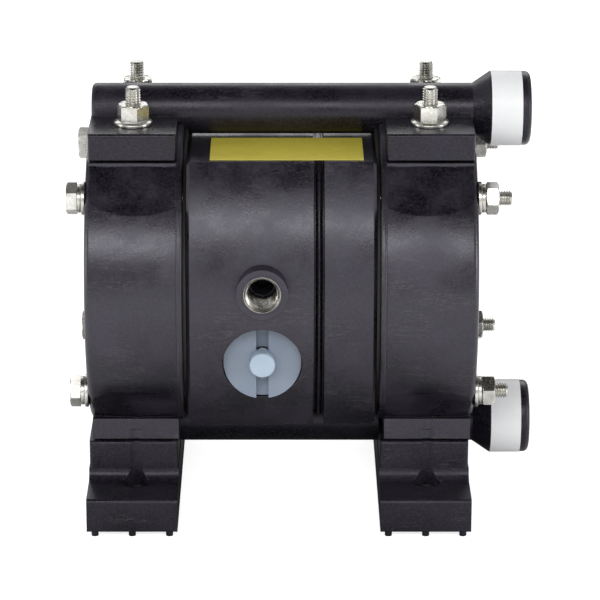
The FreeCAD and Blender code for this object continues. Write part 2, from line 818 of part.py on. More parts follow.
def make_balls():
    for side, sign in SIDES.items():
        for level, height in (("in", "-in_ball_height"), ("out", "out_ball_height")):
            ball = doc.addObject("Part::Sphere", f"{level}_ball_{side}")
            bind(ball, Radius="ball_radius")
            put(ball, (f"{sign} * port_offset", 0, f"axis_height + ({height})"))
            keep(ball, f"{level}_ball_{side}")


# Manifolds
def tube_corners(start, end, rounded):
    """Half section of a manifold tube, its flare and its port boss."""
    left = [(start, 0), (start, "tube_radius")]
    if rounded:
        left = [(start, 0), (start, "tube_radius - tube_end_round", "-tube_end_round"),
                (f"{start} + tube_end_round", "tube_radius")]
    return left + [
        (f"{end} - boss_length - flare_length", "tube_radius"),
        (f"{end} - boss_length", "boss_radius"),
        (f"{end} - boss_round", "boss_radius", "-boss_round"),
        (end, "boss_radius - boss_round"),
        (end, 0),
    ]


def soften_blocks(body, square_height):
    """Round the edges of the flange blocks' front and back faces, but not those at one height."""
    depth = number("flange_half_depth")
    level = number(square_height)
    near = 0.01

    def wanted(edge):
        on_face = any(all(abs(vertex.Y - side * depth) < near for vertex in edge.Vertexes) for side in SIGNS)
        square = all(abs(vertex.Z - level) < near for vertex in edge.Vertexes)
        return on_face and not square
    dress(body, "Fillet", "block_round", wanted)


def make_out_manifold():
    """Drawn about the tube's own axis."""
    body = new_body("out_manifold", (0, 0, "port_height"))
    turn(body, "x", tube_corners("-tube_end", "upper_boss_end", True))
    bottom = "upper_plane - port_height"
    for side in SIGNS:
        middle = f"{side} * port_offset"
        block(body, False, (f"{middle} - flange_half_width", "-flange_half_depth", bottom),
              (f"{middle} + flange_half_width", "flange_half_depth", "block_top - port_height"))
    soften_blocks(body, bottom)
    cylinder(body, True, "x", "tube_bore", "upper_boss_end + port_offset", ("-port_offset", 0, 0))
    cylinder(body, True, "x", "port_radius", "port_depth", ("upper_boss_end - port_depth", 0, 0))
    for side in SIGNS:
        middle = f"{side} * port_offset"
        cylinder(body, True, "z", "ball_bore", "upper_pocket_height", (middle, 0, bottom))
        for y in SIGNS:
            cylinder(body, True, "z", "bolt_hole", "upper_block_height", (middle, f"{y} * stud_y", bottom))
    keep(body, "out_manifold")


def add_foot(body, middle):
    """Foot under one flange: a cove below the flange, then a flat top and an upright face."""
    cove = "foot_cove"
    corners = [
        ("flange_half_depth", "-flange_bottom", cove),
        (f"flange_half_depth + {cove}", "-foot_top"),
        ("foot_depth - foot_round", "-foot_top", "-foot_round"),
        ("foot_depth", "-(foot_top + foot_round)"),
        ("foot_depth", "-foot_bottom"),
        ("-foot_depth", "-foot_bottom"),
        ("-foot_depth", "-(foot_top + foot_round)", "-foot_round"),
        ("-(foot_depth - foot_round)", "-foot_top"),
        (f"-(flange_half_depth + {cove})", "-foot_top", cove),
        ("-flange_half_depth", "-flange_bottom"),
    ]
    start = f"{middle} - foot_shift - foot_half_width"
    pad(body, outline(body, "YZ_Plane", corners, lift=start), "2 * foot_half_width")


def hollow_foot(body, middle):
    centre = f"{middle} - foot_shift"
    low = (f"{centre} - foot_half_width + foot_wall", "foot_wall - foot_depth", "-foot_bottom")
    high = (f"{centre} + foot_half_width - foot_wall", "foot_depth - foot_wall", "foot_roof - foot_bottom")
    block(body, True, low, high)
    for y in SIGNS:
        place = (middle, f"{y} * foot_hole_y")
        cylinder(body, False, "z", "foot_boss_radius", "axis_height - foot_counterbore_floor",
                 (*place, "-axis_height"))
        cylinder(body, True, "z", "foot_hole_radius", "axis_height - foot_counterbore_floor",
                 (*place, "-axis_height"))
        cylinder(body, True, "z", "foot_counterbore", "foot_counterbore_floor - foot_groove_top",
                 (*place, "-foot_counterbore_floor"))
        stud = (middle, f"{y} * stud_y")
        cylinder(body, True, "z", "bolt_hole", "foot_bottom - lower_plane", (*stud, "-foot_bottom"))
        cylinder(body, True, "z", "nut_pocket_radius", "foot_bottom - nut_seat", (*stud, "-foot_bottom"))
        for shift in (-1, 0, 1):
            peg = (f"{centre} + {shift} * peg_spread", f"{y} * (foot_depth - peg_radius - peg_inset)")
            cylinder(body, False, "z", "peg_radius", "axis_height - foot_bottom + foot_wall",
                     (*peg, "-axis_height"))


def make_in_manifold():
    """Inlet tube, its port boss, the two flanges and the feet, moulded as one."""
    body = new_body("in_manifold")
    tube = tube_corners("-port_offset", "lower_boss_end", False)
    sketch = outline(body, "XY_Plane", tube, lift="-port_height")
    feature = body.newObject("PartDesign::Revolution", "tube")
    feature.Profile = sketch
    feature.ReferenceAxis = (sketch, ["H_Axis"])
    feature.Angle = AROUND
    reach = "(tube_radius + body_edge)"
    inner = "(flange_inner - easy_fit)"
    for near, far in ((inner, "chamber_end + body_edge"), ("-(port_offset + body_edge)", f"-{inner}")):
        block(body, True, (near, f"-{reach}", "-lower_plane"), (far, reach, f"{reach} - port_height"))
    for side in SIGNS:
        middle = f"{side} * port_offset - foot_shift"
        block(body, False, (f"{middle} - lower_half_width", "-flange_half_depth", "-flange_bottom"),
              (f"{middle} + lower_half_width", "flange_half_depth", "-lower_plane"))
    soften_blocks(body, "-flange_bottom")
    for side in SIGNS:
        add_foot(body, f"{side} * port_offset")
    for side in SIGNS:
        hollow_foot(body, f"{side} * port_offset")
    bore_in_manifold(body)
    keep(body, "in_manifold")


def bore_in_manifold(body):
    """Port, tube bore, the lower bore under both flanges and a well below each seat."""
    port = "lower_boss_end - port_depth"
    cylinder(body, True, "x", "port_radius", "port_depth", (port, 0, "-port_height"))
    inside = "lower_boss_end - boss_length - body_edge"
    cylinder(body, True, "x", "tube_bore", "port_depth", (inside, 0, "-port_height"))
    cylinder(body, True, "x", "tube_bore", "2 * (flange_inner - body_edge)",
             ("body_edge - flange_inner", 0, "-port_height"))
    cylinder(body, True, "x", "low_bore", "lower_boss_end - boss_length + port_offset",
             ("-port_offset", 0, "-low_bore_height"))
    for side in SIGNS:
        cylinder(body, True, "z", "well_radius", "low_bore_height - lower_plane",
                 (f"{side} * port_offset", 0, "-low_bore_height"))


def make_port_bands():
    """White tape round each port boss."""
    bands = []
    for side, end in ((1, "upper_boss_end"), (-1, "lower_boss_end")):
        start = f"{end} - band_setback - band_width"
        body = new_body("port_band", (start, 0, f"{side} * port_height"))
        cylinder(body, False, "x", "boss_radius + band_thick", "band_width", (0, 0, 0))
        cylinder(body, True, "x", "boss_radius", "band_width", (0, 0, 0))
        bands.append(body)
    group("port_bands", bands)


# Fasteners
def make_tie_bolts():
    bolts = []
    for y, z in TIE_CORNERS:
        body = new_body("tie_bolt", (0, f"{y} * tie_offset", f"{z} * tie_offset"))
        hexagon(body, "x", "tie_head_radius", "tie_head_thick", ("-(spring_washer_end + tie_head_thick)", 0, 0))
        cylinder(body, False, "x", "bolt_radius", "spring_washer_end + tie_end - thread_chamfer",
                 ("-spring_washer_end", 0, 0))
        cone(body, False, "x", "bolt_radius", "bolt_radius - thread_chamfer", "thread_chamfer",
             ("tie_end - thread_chamfer", 0, 0))
        bolts.append(body)
    group("tie_bolts", bolts)


def make_tie_washers():
    plain = []
    springs = []
    for y, z in TIE_CORNERS:
        for side in SIGNS:
            seat = "chamber_end" if side > 0 else "-(chamber_end + washer_thick)"
            washer = new_body("tie_washer", (seat, f"{y} * tie_offset", f"{z} * tie_offset"))
            cylinder(washer, False, "x", "washer_radius", "washer_thick", (0, 0, 0))
            cylinder(washer, True, "x", "bolt_hole", "washer_thick", (0, 0, 0))
            plain.append(washer)
            seat = "chamber_end + washer_thick" if side > 0 else "-spring_washer_end"
            spring = new_body("tie_spring_washer", (seat, f"{y} * tie_offset", f"{z} * tie_offset"))
            cylinder(spring, False, "x", "spring_washer_radius", "spring_washer_thick", (0, 0, 0))
            cylinder(spring, True, "x", "bolt_hole", "spring_washer_thick", (0, 0, 0))
            block(spring, True, (0, "-spring_washer_slot / 2", 0),
                  ("spring_washer_thick", "spring_washer_slot / 2", "spring_washer_radius"))
            springs.append(spring)
    group("tie_plain_washers", plain)
    group("tie_spring_washers", springs)


def make_tie_nuts():
    nuts = []
    for y, z in TIE_CORNERS:
        body = new_body("tie_nut", ("spring_washer_end", f"{y} * tie_offset", f"{z} * tie_offset"))
        hexagon(body, "x", "nut_radius", "nut_thick", (0, 0, 0))
        cylinder(body, True, "x", "bolt_radius + nut_clearance", "nut_thick", (0, 0, 0))
        nuts.append(body)
    group("tie_nuts", nuts)


def make_stud(label, x, y, low, high, tip_up):
    """Threaded stud, chamfered at its free end."""
    body = new_body(label, (x, y, low))
    length = f"({high}) - ({low}) - thread_chamfer"
    shank = 0 if tip_up else "thread_chamfer"
    cylinder(body, False, "z", "bolt_radius", length, (0, 0, shank))
    near = "bolt_radius" if tip_up else "bolt_radius - thread_chamfer"
    far = "bolt_radius - thread_chamfer" if tip_up else "bolt_radius"
    cone(body, False, "z", near, far, "thread_chamfer", (0, 0, length if tip_up else 0))
    return body


def make_flange_nut(label, x, y, seat, upward):
    """Hexagon nut with a wide flange, seated above (upward) or below its seat."""
    start = seat if upward else f"{seat} - flange_nut_thick"
    body = new_body(label, (x, y, start))
    hexagon(body, "z", "nut_radius", "flange_nut_thick", (0, 0, 0))
    rim = 0 if upward else "flange_nut_thick - flange_nut_rim"
    cylinder(body, False, "z", "flange_nut_radius", "flange_nut_rim", (0, 0, rim))
    cylinder(body, True, "z", "bolt_radius + nut_clearance", "flange_nut_thick", (0, 0, 0))
    return body


def make_studs_and_nuts():
    groups = {"upper_studs": [], "upper_flange_nuts": [], "lower_studs": [], "lower_flange_nuts": []}
    for side, y in STUD_PLACES:
        place = (f"{side} * port_offset", f"{y} * stud_y")
        groups["upper_studs"].append(
            make_stud("upper_stud", *place, "neck_top - stud_depth", "upper_stud_top", True))
        groups["upper_flange_nuts"].append(make_flange_nut("upper_nut", *place, "block_top", True))
        groups["lower_studs"].append(
            make_stud("lower_stud", *place, "-lower_stud_bottom", "stud_depth - neck_bottom", False))
        groups["lower_flange_nuts"].append(make_flange_nut("lower_nut", *place, "-nut_seat", False))
    for label, members in groups.items():
        group(label, members)


# Air ports, main valve and reset button
def make_inserts():
    """Threaded metal bushes of the air inlet and the exhaust."""
    for label, side in (("air_inlet_bush", -1), ("exhaust_bush", 1)):
        body = new_body(label, ("valve_x", f"{side} * inlet_face", "inlet_height"))
        mouth = "(insert_mouth - insert_bore)"
        turn(body, "y", [
            ("insert_mouth", 0),
            ("insert_radius", 0),
            ("insert_radius", f"{-side} * insert_length"),
            ("insert_bore", f"{-side} * insert_length"),
            ("insert_bore", f"{-side} * {mouth}"),
        ])
        keep(body, label)


def make_sleeve():
    """Valve sleeve with three ring grooves, each pierced by radial ports."""
    body = new_body("valve_sleeve", ("valve_x", 0, "-valve_drop"))
    corners = [("sleeve_bore", "-valve_half"), ("sleeve_radius", "-valve_half")]
    for step in (-1, 0, 1):
        low = f"{step} * sleeve_groove_pitch - sleeve_groove_half"
        high = f"{step} * sleeve_groove_pitch + sleeve_groove_half"
        corners += [("sleeve_radius", low), ("sleeve_groove_radius", low), ("sleeve_groove_radius", high),
                    ("sleeve_radius", high)]
    corners += [("sleeve_radius", "valve_half"), ("sleeve_bore", "valve_half")]
    turn(body, "y", corners)
    for step in (-1, 0, 1):
        for axis in ("x", "z"):
            along = f"{step} * sleeve_groove_pitch"
            start = ("-sleeve_radius", along, 0) if axis == "x" else (0, along, "-sleeve_radius")
            cylinder(body, True, axis, "sleeve_port_radius", "2 * sleeve_radius", start)
    keep(body, "valve_sleeve")


def make_spool():
    """Spool with four lands; the end lands hold a ring each."""
    body = new_body("valve_spool", ("valve_x", "-spool_front", "-valve_drop"))
    waist = "(spool_length - 4 * spool_land) / 3"
    groove = "spool_radius - 2 * spool_ring_wire"
    centres = ("spool_land / 2", "spool_length - spool_land / 2")
    corners = [(0, 0)]
    for land in range(4):
        start = f"{land} * (spool_land + {waist})"
        middle = f"({start} + spool_land / 2)"
        corners.append(("spool_waist" if land else "spool_radius", start))
        if land:
            corners.append(("spool_radius", start))
        if land in (0, 3):
            corners += [("spool_radius", f"{middle} - spool_ring_wire"), (groove, f"{middle} - spool_ring_wire"),
                        (groove, f"{middle} + spool_ring_wire"), ("spool_radius", f"{middle} + spool_ring_wire")]
        corners.append(("spool_radius", f"{start} + spool_land"))
        if land < 3:
            corners.append(("spool_waist", f"{start} + spool_land"))
    corners.append((0, "spool_length"))
    turn(body, "y", corners)
    keep(body, "valve_spool")
    rings = [ring("spool_ring", "y", "spool_radius - spool_ring_wire", "spool_ring_wire",
                  ("valve_x", f"{centre} - spool_front", "-valve_drop")) for centre in centres]
    group("spool_rings", rings)


def cut_cap_slot(body, side):
    """Screwdriver slot across the cap's face."""
    near = "0" if side < 0 else "-cap_slot_depth"
    far = "cap_slot_depth" if side < 0 else "0"
    block(body, True, ("-cap_slot_half", near, "-cap_radius"), ("cap_slot_half", far, "cap_radius"))


def make_caps():
    front = new_body("reset_cap", ("valve_x", "-cap_face", "-valve_drop"))
    end = "cap_thick + spigot_length"
    turn(front, "y", [
        ("button_radius + slide_fit", 0),
        ("cap_radius", 0),
        ("cap_radius", "cap_thick"),
        ("spigot_radius", "cap_thick"),
        ("spigot_radius", end),
        ("stem_hole", end),
        ("stem_hole", "button_bore_depth"),
        ("button_radius + slide_fit", "button_bore_depth"),
    ])
    cut_cap_slot(front, -1)
    keep(front, "reset_cap")
    rear = new_body("rear_cap", ("valve_x", "cap_face", "-valve_drop"))
    cylinder(rear, False, "y", "cap_radius", "cap_thick", (0, "-cap_thick", 0))
    cylinder(rear, False, "y", "spigot_radius", "spigot_length", (0, f"-({end})", 0))
    cut_cap_slot(rear, 1)
    keep(rear, "rear_cap")


def make_button():
    """Push button: head in the cap, stem through it and a clip behind it."""
    button = new_body("reset_button", ("valve_x", "-cap_face", "-valve_drop"))
    turn(button, "y", [
        (0, "-button_proud"),
        ("button_radius - thread_chamfer", "-button_proud", "thread_chamfer"),
        ("button_radius", "thread_chamfer - button_proud"),
        ("button_radius", "button_sunk"),
        ("stem_radius", "button_sunk"),
        ("stem_radius", "stem_tip"),
        (0, "stem_tip"),
    ])
    keep(button, "reset_button")
    clip = new_body("button_clip", ("valve_x", "tip_gap - valve_half", "-valve_drop"))
    cylinder(clip, False, "y", "clip_radius", "clip_thick", (0, 0, 0))
    cylinder(clip, True, "y", "stem_radius", "clip_thick", (0, 0, 0))
    keep(clip, "button_clip")


def make_button_spring():
    """Coil spring between the button's head and the floor of its bore."""
    helix = doc.addObject("Part::Helix", "spring_path")
    bind(helix, Radius="spring_radius", Pitch="spring_pitch",
         Height="button_bore_depth - button_sunk - 2 * spring_wire")
    wire = doc.addObject("Part::Circle", "spring_section")
    bind(wire, Radius="spring_wire")
    wire.Placement.Rotation = FreeCAD.Rotation(FreeCAD.Vector(1, 0, 0), 90)
    wire.setExpression("Placement.Base.x", formula("spring_radius"))
    spring = doc.addObject("Part::Sweep", "button_spring")
    spring.Sections = [wire]
    spring.Spine = (helix, ["Edge1"])
    spring.Solid = True
    spring.Frenet = True
    doc.recompute()
    put(spring, ("valve_x", "button_sunk + spring_wire - cap_face", "axis_height - valve_drop"), ALONG["y"])
    keep(spring, "button_spring")


def make_sticker():
    """Plain sticker on the top of the body, across the groove."""
    sticker = doc.addObject("Part::Box", "caution_sticker")
    bind(sticker, Length="sticker_left + sticker_right", Width="sticker_front - sticker_back",
         Height="sticker_thick")
    put(sticker, ("-sticker_left", "-sticker_front", "axis_height + body_half_height"))
    keep(sticker, "caution_sticker")


def check_document():
    for thing in doc.Objects:
        if "Invalid" in thing.State or "Error" in thing.State:
            raise RuntimeError(f"{thing.Label} failed: {thing.State}")
    for piece in nodes:
        if piece.Shape.isNull() or not piece.Shape.isValid():
            raise RuntimeError(f"{piece.Label} has no valid shape")


def export_nodes():
    os.makedirs("parts", exist_ok=True)
    for piece in nodes:
        piece.Shape.exportStep(f"parts/{piece.Label}.step")
        print(f"{piece.Label}: {len(piece.Shape.Solids)} solids, {piece.Shape.Volume / 1000:.2f} cm3")


fill_sheet()
make_center_body()
make_side_section()
make_spacer_plate()
make_chambers()
make_diaphragms()
make_center_rod()
make_discs()
make_rod_guides()
make_seats()
make_balls()
make_out_manifold()
make_in_manifold()
make_port_bands()
make_tie_bolts()
make_tie_washers()
make_tie_nuts()
make_studs_and_nuts()
make_inserts()
make_sleeve()
make_spool()
make_caps()
make_button()
make_button_spring()
make_sticker()
doc.recompute()
check_document()
export_nodes()
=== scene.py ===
import json
import math

import bpy
import numpy as np
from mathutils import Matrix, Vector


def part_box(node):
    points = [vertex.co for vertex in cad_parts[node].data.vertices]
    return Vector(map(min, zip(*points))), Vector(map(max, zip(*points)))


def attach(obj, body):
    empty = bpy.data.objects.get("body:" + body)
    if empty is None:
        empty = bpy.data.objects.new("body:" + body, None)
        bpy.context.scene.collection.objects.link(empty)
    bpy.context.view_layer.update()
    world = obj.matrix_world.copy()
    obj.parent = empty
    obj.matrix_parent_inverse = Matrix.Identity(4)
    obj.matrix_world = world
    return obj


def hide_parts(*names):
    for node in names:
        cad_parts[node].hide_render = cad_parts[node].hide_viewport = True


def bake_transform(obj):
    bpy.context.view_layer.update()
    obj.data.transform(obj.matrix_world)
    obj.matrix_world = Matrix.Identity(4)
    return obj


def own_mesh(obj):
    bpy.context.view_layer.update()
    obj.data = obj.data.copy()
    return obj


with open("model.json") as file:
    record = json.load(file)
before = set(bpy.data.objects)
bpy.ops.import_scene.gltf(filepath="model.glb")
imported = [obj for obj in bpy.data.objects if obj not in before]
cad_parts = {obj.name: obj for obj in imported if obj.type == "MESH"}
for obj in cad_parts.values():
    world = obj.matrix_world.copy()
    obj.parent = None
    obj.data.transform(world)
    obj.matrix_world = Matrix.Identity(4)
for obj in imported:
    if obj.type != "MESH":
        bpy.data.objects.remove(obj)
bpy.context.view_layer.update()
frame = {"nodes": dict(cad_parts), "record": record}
print("frame loaded:", len(frame["nodes"]), "nodes")

mm = 0.001
fullTurn = 2 * math.pi
axisHeight = 0.0935  # height of the line through the diaphragms
sharpAngle = 32.0  # faces that meet at more than this, in degrees, keep a hard edge
weldReach = 1e-6
longestCut = 0.45  # share of an edge that the rounding of one corner may take
cornerSteps = 4  # points on each rounded corner
ringAround = 96  # points round a ring


# Shared mesh work

# Sum over the faces of a fan of tetrahedra from the origin: positive when they point outwards.
def signedVolume(points, faces):
    total = 0.0
    for corner in range(1, faces.shape[1] - 1):
        a = points[faces[:, 0]]
        b = points[faces[:, corner]]
        c = points[faces[:, corner + 1]]
        total += float(np.einsum("ij,ij->i", a, np.cross(b, c)).sum())
    return total


# Four neighbours of the grid make each face. Columns always close; rows run on to the first if asked.
def gridFaces(rows, columns, closeRows):
    lastRow = rows if closeRows else rows - 1
    row, column = np.meshgrid(np.arange(lastRow), np.arange(columns), indexing="ij")
    row = row.ravel()
    column = column.ravel()
    nextRow = (row + 1) % rows
    nextColumn = (column + 1) % columns
    return np.stack([row * columns + column, row * columns + nextColumn,
                     nextRow * columns + nextColumn, nextRow * columns + column], axis=1)


# A grid of points (rows, columns, 3) as one outward shell.
def surface(points, closeRows=False):
    rows, columns = points.shape[:2]
    flat = points.reshape(-1, 3)
    faces = gridFaces(rows, columns, closeRows)
    if signedVolume(flat - flat.mean(axis=0), faces) < 0:
        faces = faces[:, ::-1]
    return flat, faces


# Joins shells into one object, welds its doubles and shades it smooth up to the sharp angle.
# It takes the place of a node if one is named, and rides on no body if none is given.
def makePiece(name, shells, slotName, body="housing", node=None):
    points = []
    faces = []
    count = 0
    for shellPoints, shellFaces in shells:
        points.append(shellPoints)
        faces.append(shellFaces + count)
        count += len(shellPoints)
    points = np.concatenate(points)
    faces = np.concatenate(faces)
    keys = np.round(points / weldReach).astype(np.int64)
    first, merged = np.unique(keys, axis=0, return_index=True, return_inverse=True)[1:]
    faces = merged.ravel()[faces]
    points = points[first]
    faceLists = []
    for face in faces.tolist():
        loop = [corner for index, corner in enumerate(face) if corner != face[index - 1]]
        if len(loop) > 2:
            faceLists.append(loop)
    mesh = bpy.data.meshes.new(name)
    mesh.from_pydata(points.tolist(), [], faceLists)
    mesh.shade_smooth()
    mesh.set_sharp_from_angle(angle=math.radians(sharpAngle))
    mesh.update()
    piece = bpy.data.objects.new(name, mesh)
    bpy.context.scene.collection.objects.link(piece)
    mesh.materials.append(slotMaterials[slotName])
    if body:
        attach(piece, body)
    if node:
        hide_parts(node)
    return piece


# Turns a shell made about Z so that its Z lies along an axis, and moves it to a point.
def place(shell, along, at):
    points, faces = shell
    x, y, z = points[:, 0], points[:, 1], points[:, 2]
    turned = {"z": (x, y, z), "-z": (x, -y, -z), "x": (z, x, y), "-x": (-z, -x, y),
              "y": (y, z, x), "-y": (y, -z, -x)}[along]
    return np.stack(turned, axis=1) + np.array(at), faces


# Four corners of a closed profile, anticlockwise from the lower left.
def rectangle(left, right, low, high):
    return [(left, low), (right, low), (right, high), (left, high)]


# Each corner of a closed profile gives way to an arc: a quadratic curve between two cut points.
def roundCorners(profile, radius, steps=cornerSteps):
    profile = np.asarray(profile, float)
    before = np.roll(profile, 1, axis=0)
    after = np.roll(profile, -1, axis=0)
    toBefore = before - profile
    toAfter = after - profile
    lengthBefore = np.linalg.norm(toBefore, axis=1)
    lengthAfter = np.linalg.norm(toAfter, axis=1)
    cut = np.minimum(radius, longestCut * np.minimum(lengthBefore, lengthAfter))
    start = profile + toBefore * (cut / lengthBefore)[:, None]
    end = profile + toAfter * (cut / lengthAfter)[:, None]
    t = np.linspace(0, 1, steps)[None, :, None]
    curve = (1 - t) ** 2 * start[:, None] + 2 * t * (1 - t) * profile[:, None] + t ** 2 * end[:, None]
    return curve.reshape(-1, 2)


# A point at each radius, angle and height about Z.
def pointsRoundZ(radius, angle, height):
    return np.stack([radius * np.cos(angle), radius * np.sin(angle), height + 0 * angle], axis=2)


# Evenly spread angles that go once round, without the last one that would meet the first.
def anglesRound(count):
    return np.arange(count)[None, :] * fullTurn / count


# Each profile point (radius, height) goes round Z in a circle.
def revolve(profile, count):
    profile = np.asarray(profile, float)
    return pointsRoundZ(profile[:, :1], anglesRound(count), profile[:, 1:])


# Closed profile round Z, with its corners rounded.
def ringShell(profile, count=ringAround, rounding=0.0):
    if rounding:
        profile = roundCorners(profile, rounding)
    return surface(revolve(profile, count), closeRows=True)


# Both ends of a swept section are closed: each end line shrinks to its own middle.
def closedSweep(sweep):
    first, last = [np.repeat(line.mean(axis=0)[None, None, :], len(line), axis=1)
                   for line in (sweep[0], sweep[-1])]
    return surface(np.concatenate([first, sweep, last]))


# Nodes and node groups that several materials use

def newGroup(name, inputs, outputs):
    group = bpy.data.node_groups.new(name, "ShaderNodeTree")
    for label, kind, value in inputs:
        socket = group.interface.new_socket(label, in_out="INPUT", socket_type=kind)
        socket.default_value = value
    for label in outputs:
        group.interface.new_socket(label, in_out="OUTPUT", socket_type="NodeSocketFloat")
    return group, group.nodes.new("NodeGroupInput"), group.nodes.new("NodeGroupOutput")


# Sets an input to a plain value, or links another node's output to it.
def feed(tree, socket, value):
    if isinstance(value, (int, float, tuple)):
        socket.default_value = value
    else:
        tree.links.new(value, socket)


def addNoise(tree, vector, scale, detail, roughness):
    noise = tree.nodes.new("ShaderNodeTexNoise")
    noise.inputs["Detail"].default_value = detail
    noise.inputs["Roughness"].default_value = roughness
    feed(tree, noise.inputs["Scale"], scale)
    tree.links.new(vector, noise.inputs["Vector"])
    return noise.outputs["Fac"]


def addRange(tree, value, low, high, toLow=0.0, toHigh=1.0):
    node = tree.nodes.new("ShaderNodeMapRange")
    for label, number in (("From Min", low), ("From Max", high), ("To Min", toLow), ("To Max", toHigh)):
        node.inputs[label].default_value = number
    tree.links.new(value, node.inputs["Value"])
    return node.outputs["Result"]


def addMath(tree, operation, first, second=0.0):
    node = tree.nodes.new("ShaderNodeMath")
    node.operation = operation
    feed(tree, node.inputs[0], first)
    feed(tree, node.inputs[1], second)
    return node.outputs["Value"]


def multiply(tree, first, second):
    return addMath(tree, "MULTIPLY", first, second)


def addMix(tree, factor, first, second):
    node = tree.nodes.new("ShaderNodeMix")
    node.data_type = "RGBA"
    colorInputs = [socket for socket in node.inputs if socket.type == "RGBA"]
    for socket, value in zip([node.inputs["Factor"]] + colorInputs, (factor, first, second)):
        feed(tree, socket, value)
    return [socket for socket in node.outputs if socket.type == "RGBA"][0]


mottleLook = {
    "cloudDetail": 6.0,
    "cloudRoughness": 0.62,
    "cloudRange": (0.42, 0.66),
    "speckleDetail": 3.0,
    "speckleRoughness": 0.7,
    "speckleRange": (0.38, 0.66),
    "speckleHeight": 0.7,
    "fineScale": 2600.0,
    "fineDetail": 2.0,
    "fineRoughness": 0.6,
    "fineHeight": 0.5,
}


# Cloudy patches and fine speckle. The height adds the speckle and a finer grain.
def makeMottleGroup():
    look = mottleLook
    group, source, result = newGroup(
        "mouldMottle",
        [("Vector", "NodeSocketVector", (0, 0, 0)), ("Cloud Scale", "NodeSocketFloat", 30.0),
         ("Speckle Scale", "NodeSocketFloat", 900.0)],
        ["Cloud", "Speckle", "Height"])
    vector = source.outputs["Vector"]
    cloud = addNoise(group, vector, source.outputs["Cloud Scale"], look["cloudDetail"],
                     look["cloudRoughness"])
    speckle = addNoise(group, vector, source.outputs["Speckle Scale"], look["speckleDetail"],
                       look["speckleRoughness"])
    fine = addNoise(group, vector, look["fineScale"], look["fineDetail"], look["fineRoughness"])
    height = addMath(group, "ADD", multiply(group, speckle, look["speckleHeight"]),
                     multiply(group, fine, look["fineHeight"]))
    group.links.new(addRange(group, cloud, *look["cloudRange"]), result.inputs["Cloud"])
    group.links.new(addRange(group, speckle, *look["speckleRange"]), result.inputs["Speckle"])
    group.links.new(height, result.inputs["Height"])
    return group


scuffLook = {
    "stretch": (0.25, 1.0, 2.4),
    "turn": (0.4, 0.7, 0.3),
    "detail": 4.0,
    "roughness": 0.75,
    "middle": 0.5,
    "width": 0.012,
    "patchScale": 45.0,
    "patchDetail": 2.0,
    "patchRoughness": 0.55,
    "patchRange": (0.5, 0.62),
}


# Thin scratches: narrow bands about the middle value of a stretched noise, kept only in patches.
def makeScuffGroup():
    look = scuffLook
    group, source, result = newGroup(
        "surfaceScuffs",
        [("Vector", "NodeSocketVector", (0, 0, 0)), ("Scale", "NodeSocketFloat", 120.0)],
        ["Scuffs"])
    vector = source.outputs["Vector"]
    stretch = group.nodes.new("ShaderNodeMapping")
    stretch.inputs["Scale"].default_value = look["stretch"]
    stretch.inputs["Rotation"].default_value = look["turn"]
    group.links.new(vector, stretch.inputs["Vector"])
    lines = addNoise(group, stretch.outputs["Vector"], source.outputs["Scale"], look["detail"],
                     look["roughness"])
    away = addMath(group, "ABSOLUTE", addMath(group, "SUBTRACT", lines, look["middle"]))
    thin = addRange(group, away, 0.0, look["width"], 1.0, 0.0)
    patchNoise = addNoise(group, vector, look["patchScale"], look["patchDetail"], look["patchRoughness"])
    patches = addRange(group, patchNoise, *look["patchRange"])
    group.links.new(multiply(group, thin, patches), result.inputs["Scuffs"])
    return group


mottleGroup = makeMottleGroup()
scuffGroup = makeScuffGroup()


def useGroup(tree, group, vector, values):
    node = tree.nodes.new("ShaderNodeGroup")
    node.node_tree = group
    tree.links.new(vector, node.inputs["Vector"])
    for label, value in values.items():
        node.inputs[label].default_value = value
    return node


# A new material, its shader and its Object coordinates.
def startMaterial(name):
    material = bpy.data.materials.new(name)
    material.use_nodes = True
    tree = material.node_tree
    coords = tree.nodes.new("ShaderNodeTexCoord").outputs["Object"]
    return material, tree, tree.nodes["Principled BSDF"], coords


def addMottle(tree, coords, look):
    return useGroup(tree, mottleGroup, coords,
                    {"Cloud Scale": look["cloudScale"], "Speckle Scale": look["speckleScale"]})


# Lays a colour over another where the mask is high, as strongly as the amount says.
def layColor(tree, under, mask, amount, color):
    return addMix(tree, multiply(tree, mask, amount), under, color)


# Roughness runs from the look's low value to its high one as the mask rises.
def addRoughness(tree, shader, mask, look):
    roughness = addRange(tree, mask, 0.0, 1.0, look["roughLow"], look["roughHigh"])
    tree.links.new(roughness, shader.inputs["Roughness"])


def addBump(tree, shader, height, look):
    bump = tree.nodes.new("ShaderNodeBump")
    bump.inputs["Strength"].default_value = look["bump"]
    bump.inputs["Distance"].default_value = look["bumpDepth"]
    tree.links.new(height, bump.inputs["Height"])
    tree.links.new(bump.outputs["Normal"], shader.inputs["Normal"])
    return bump


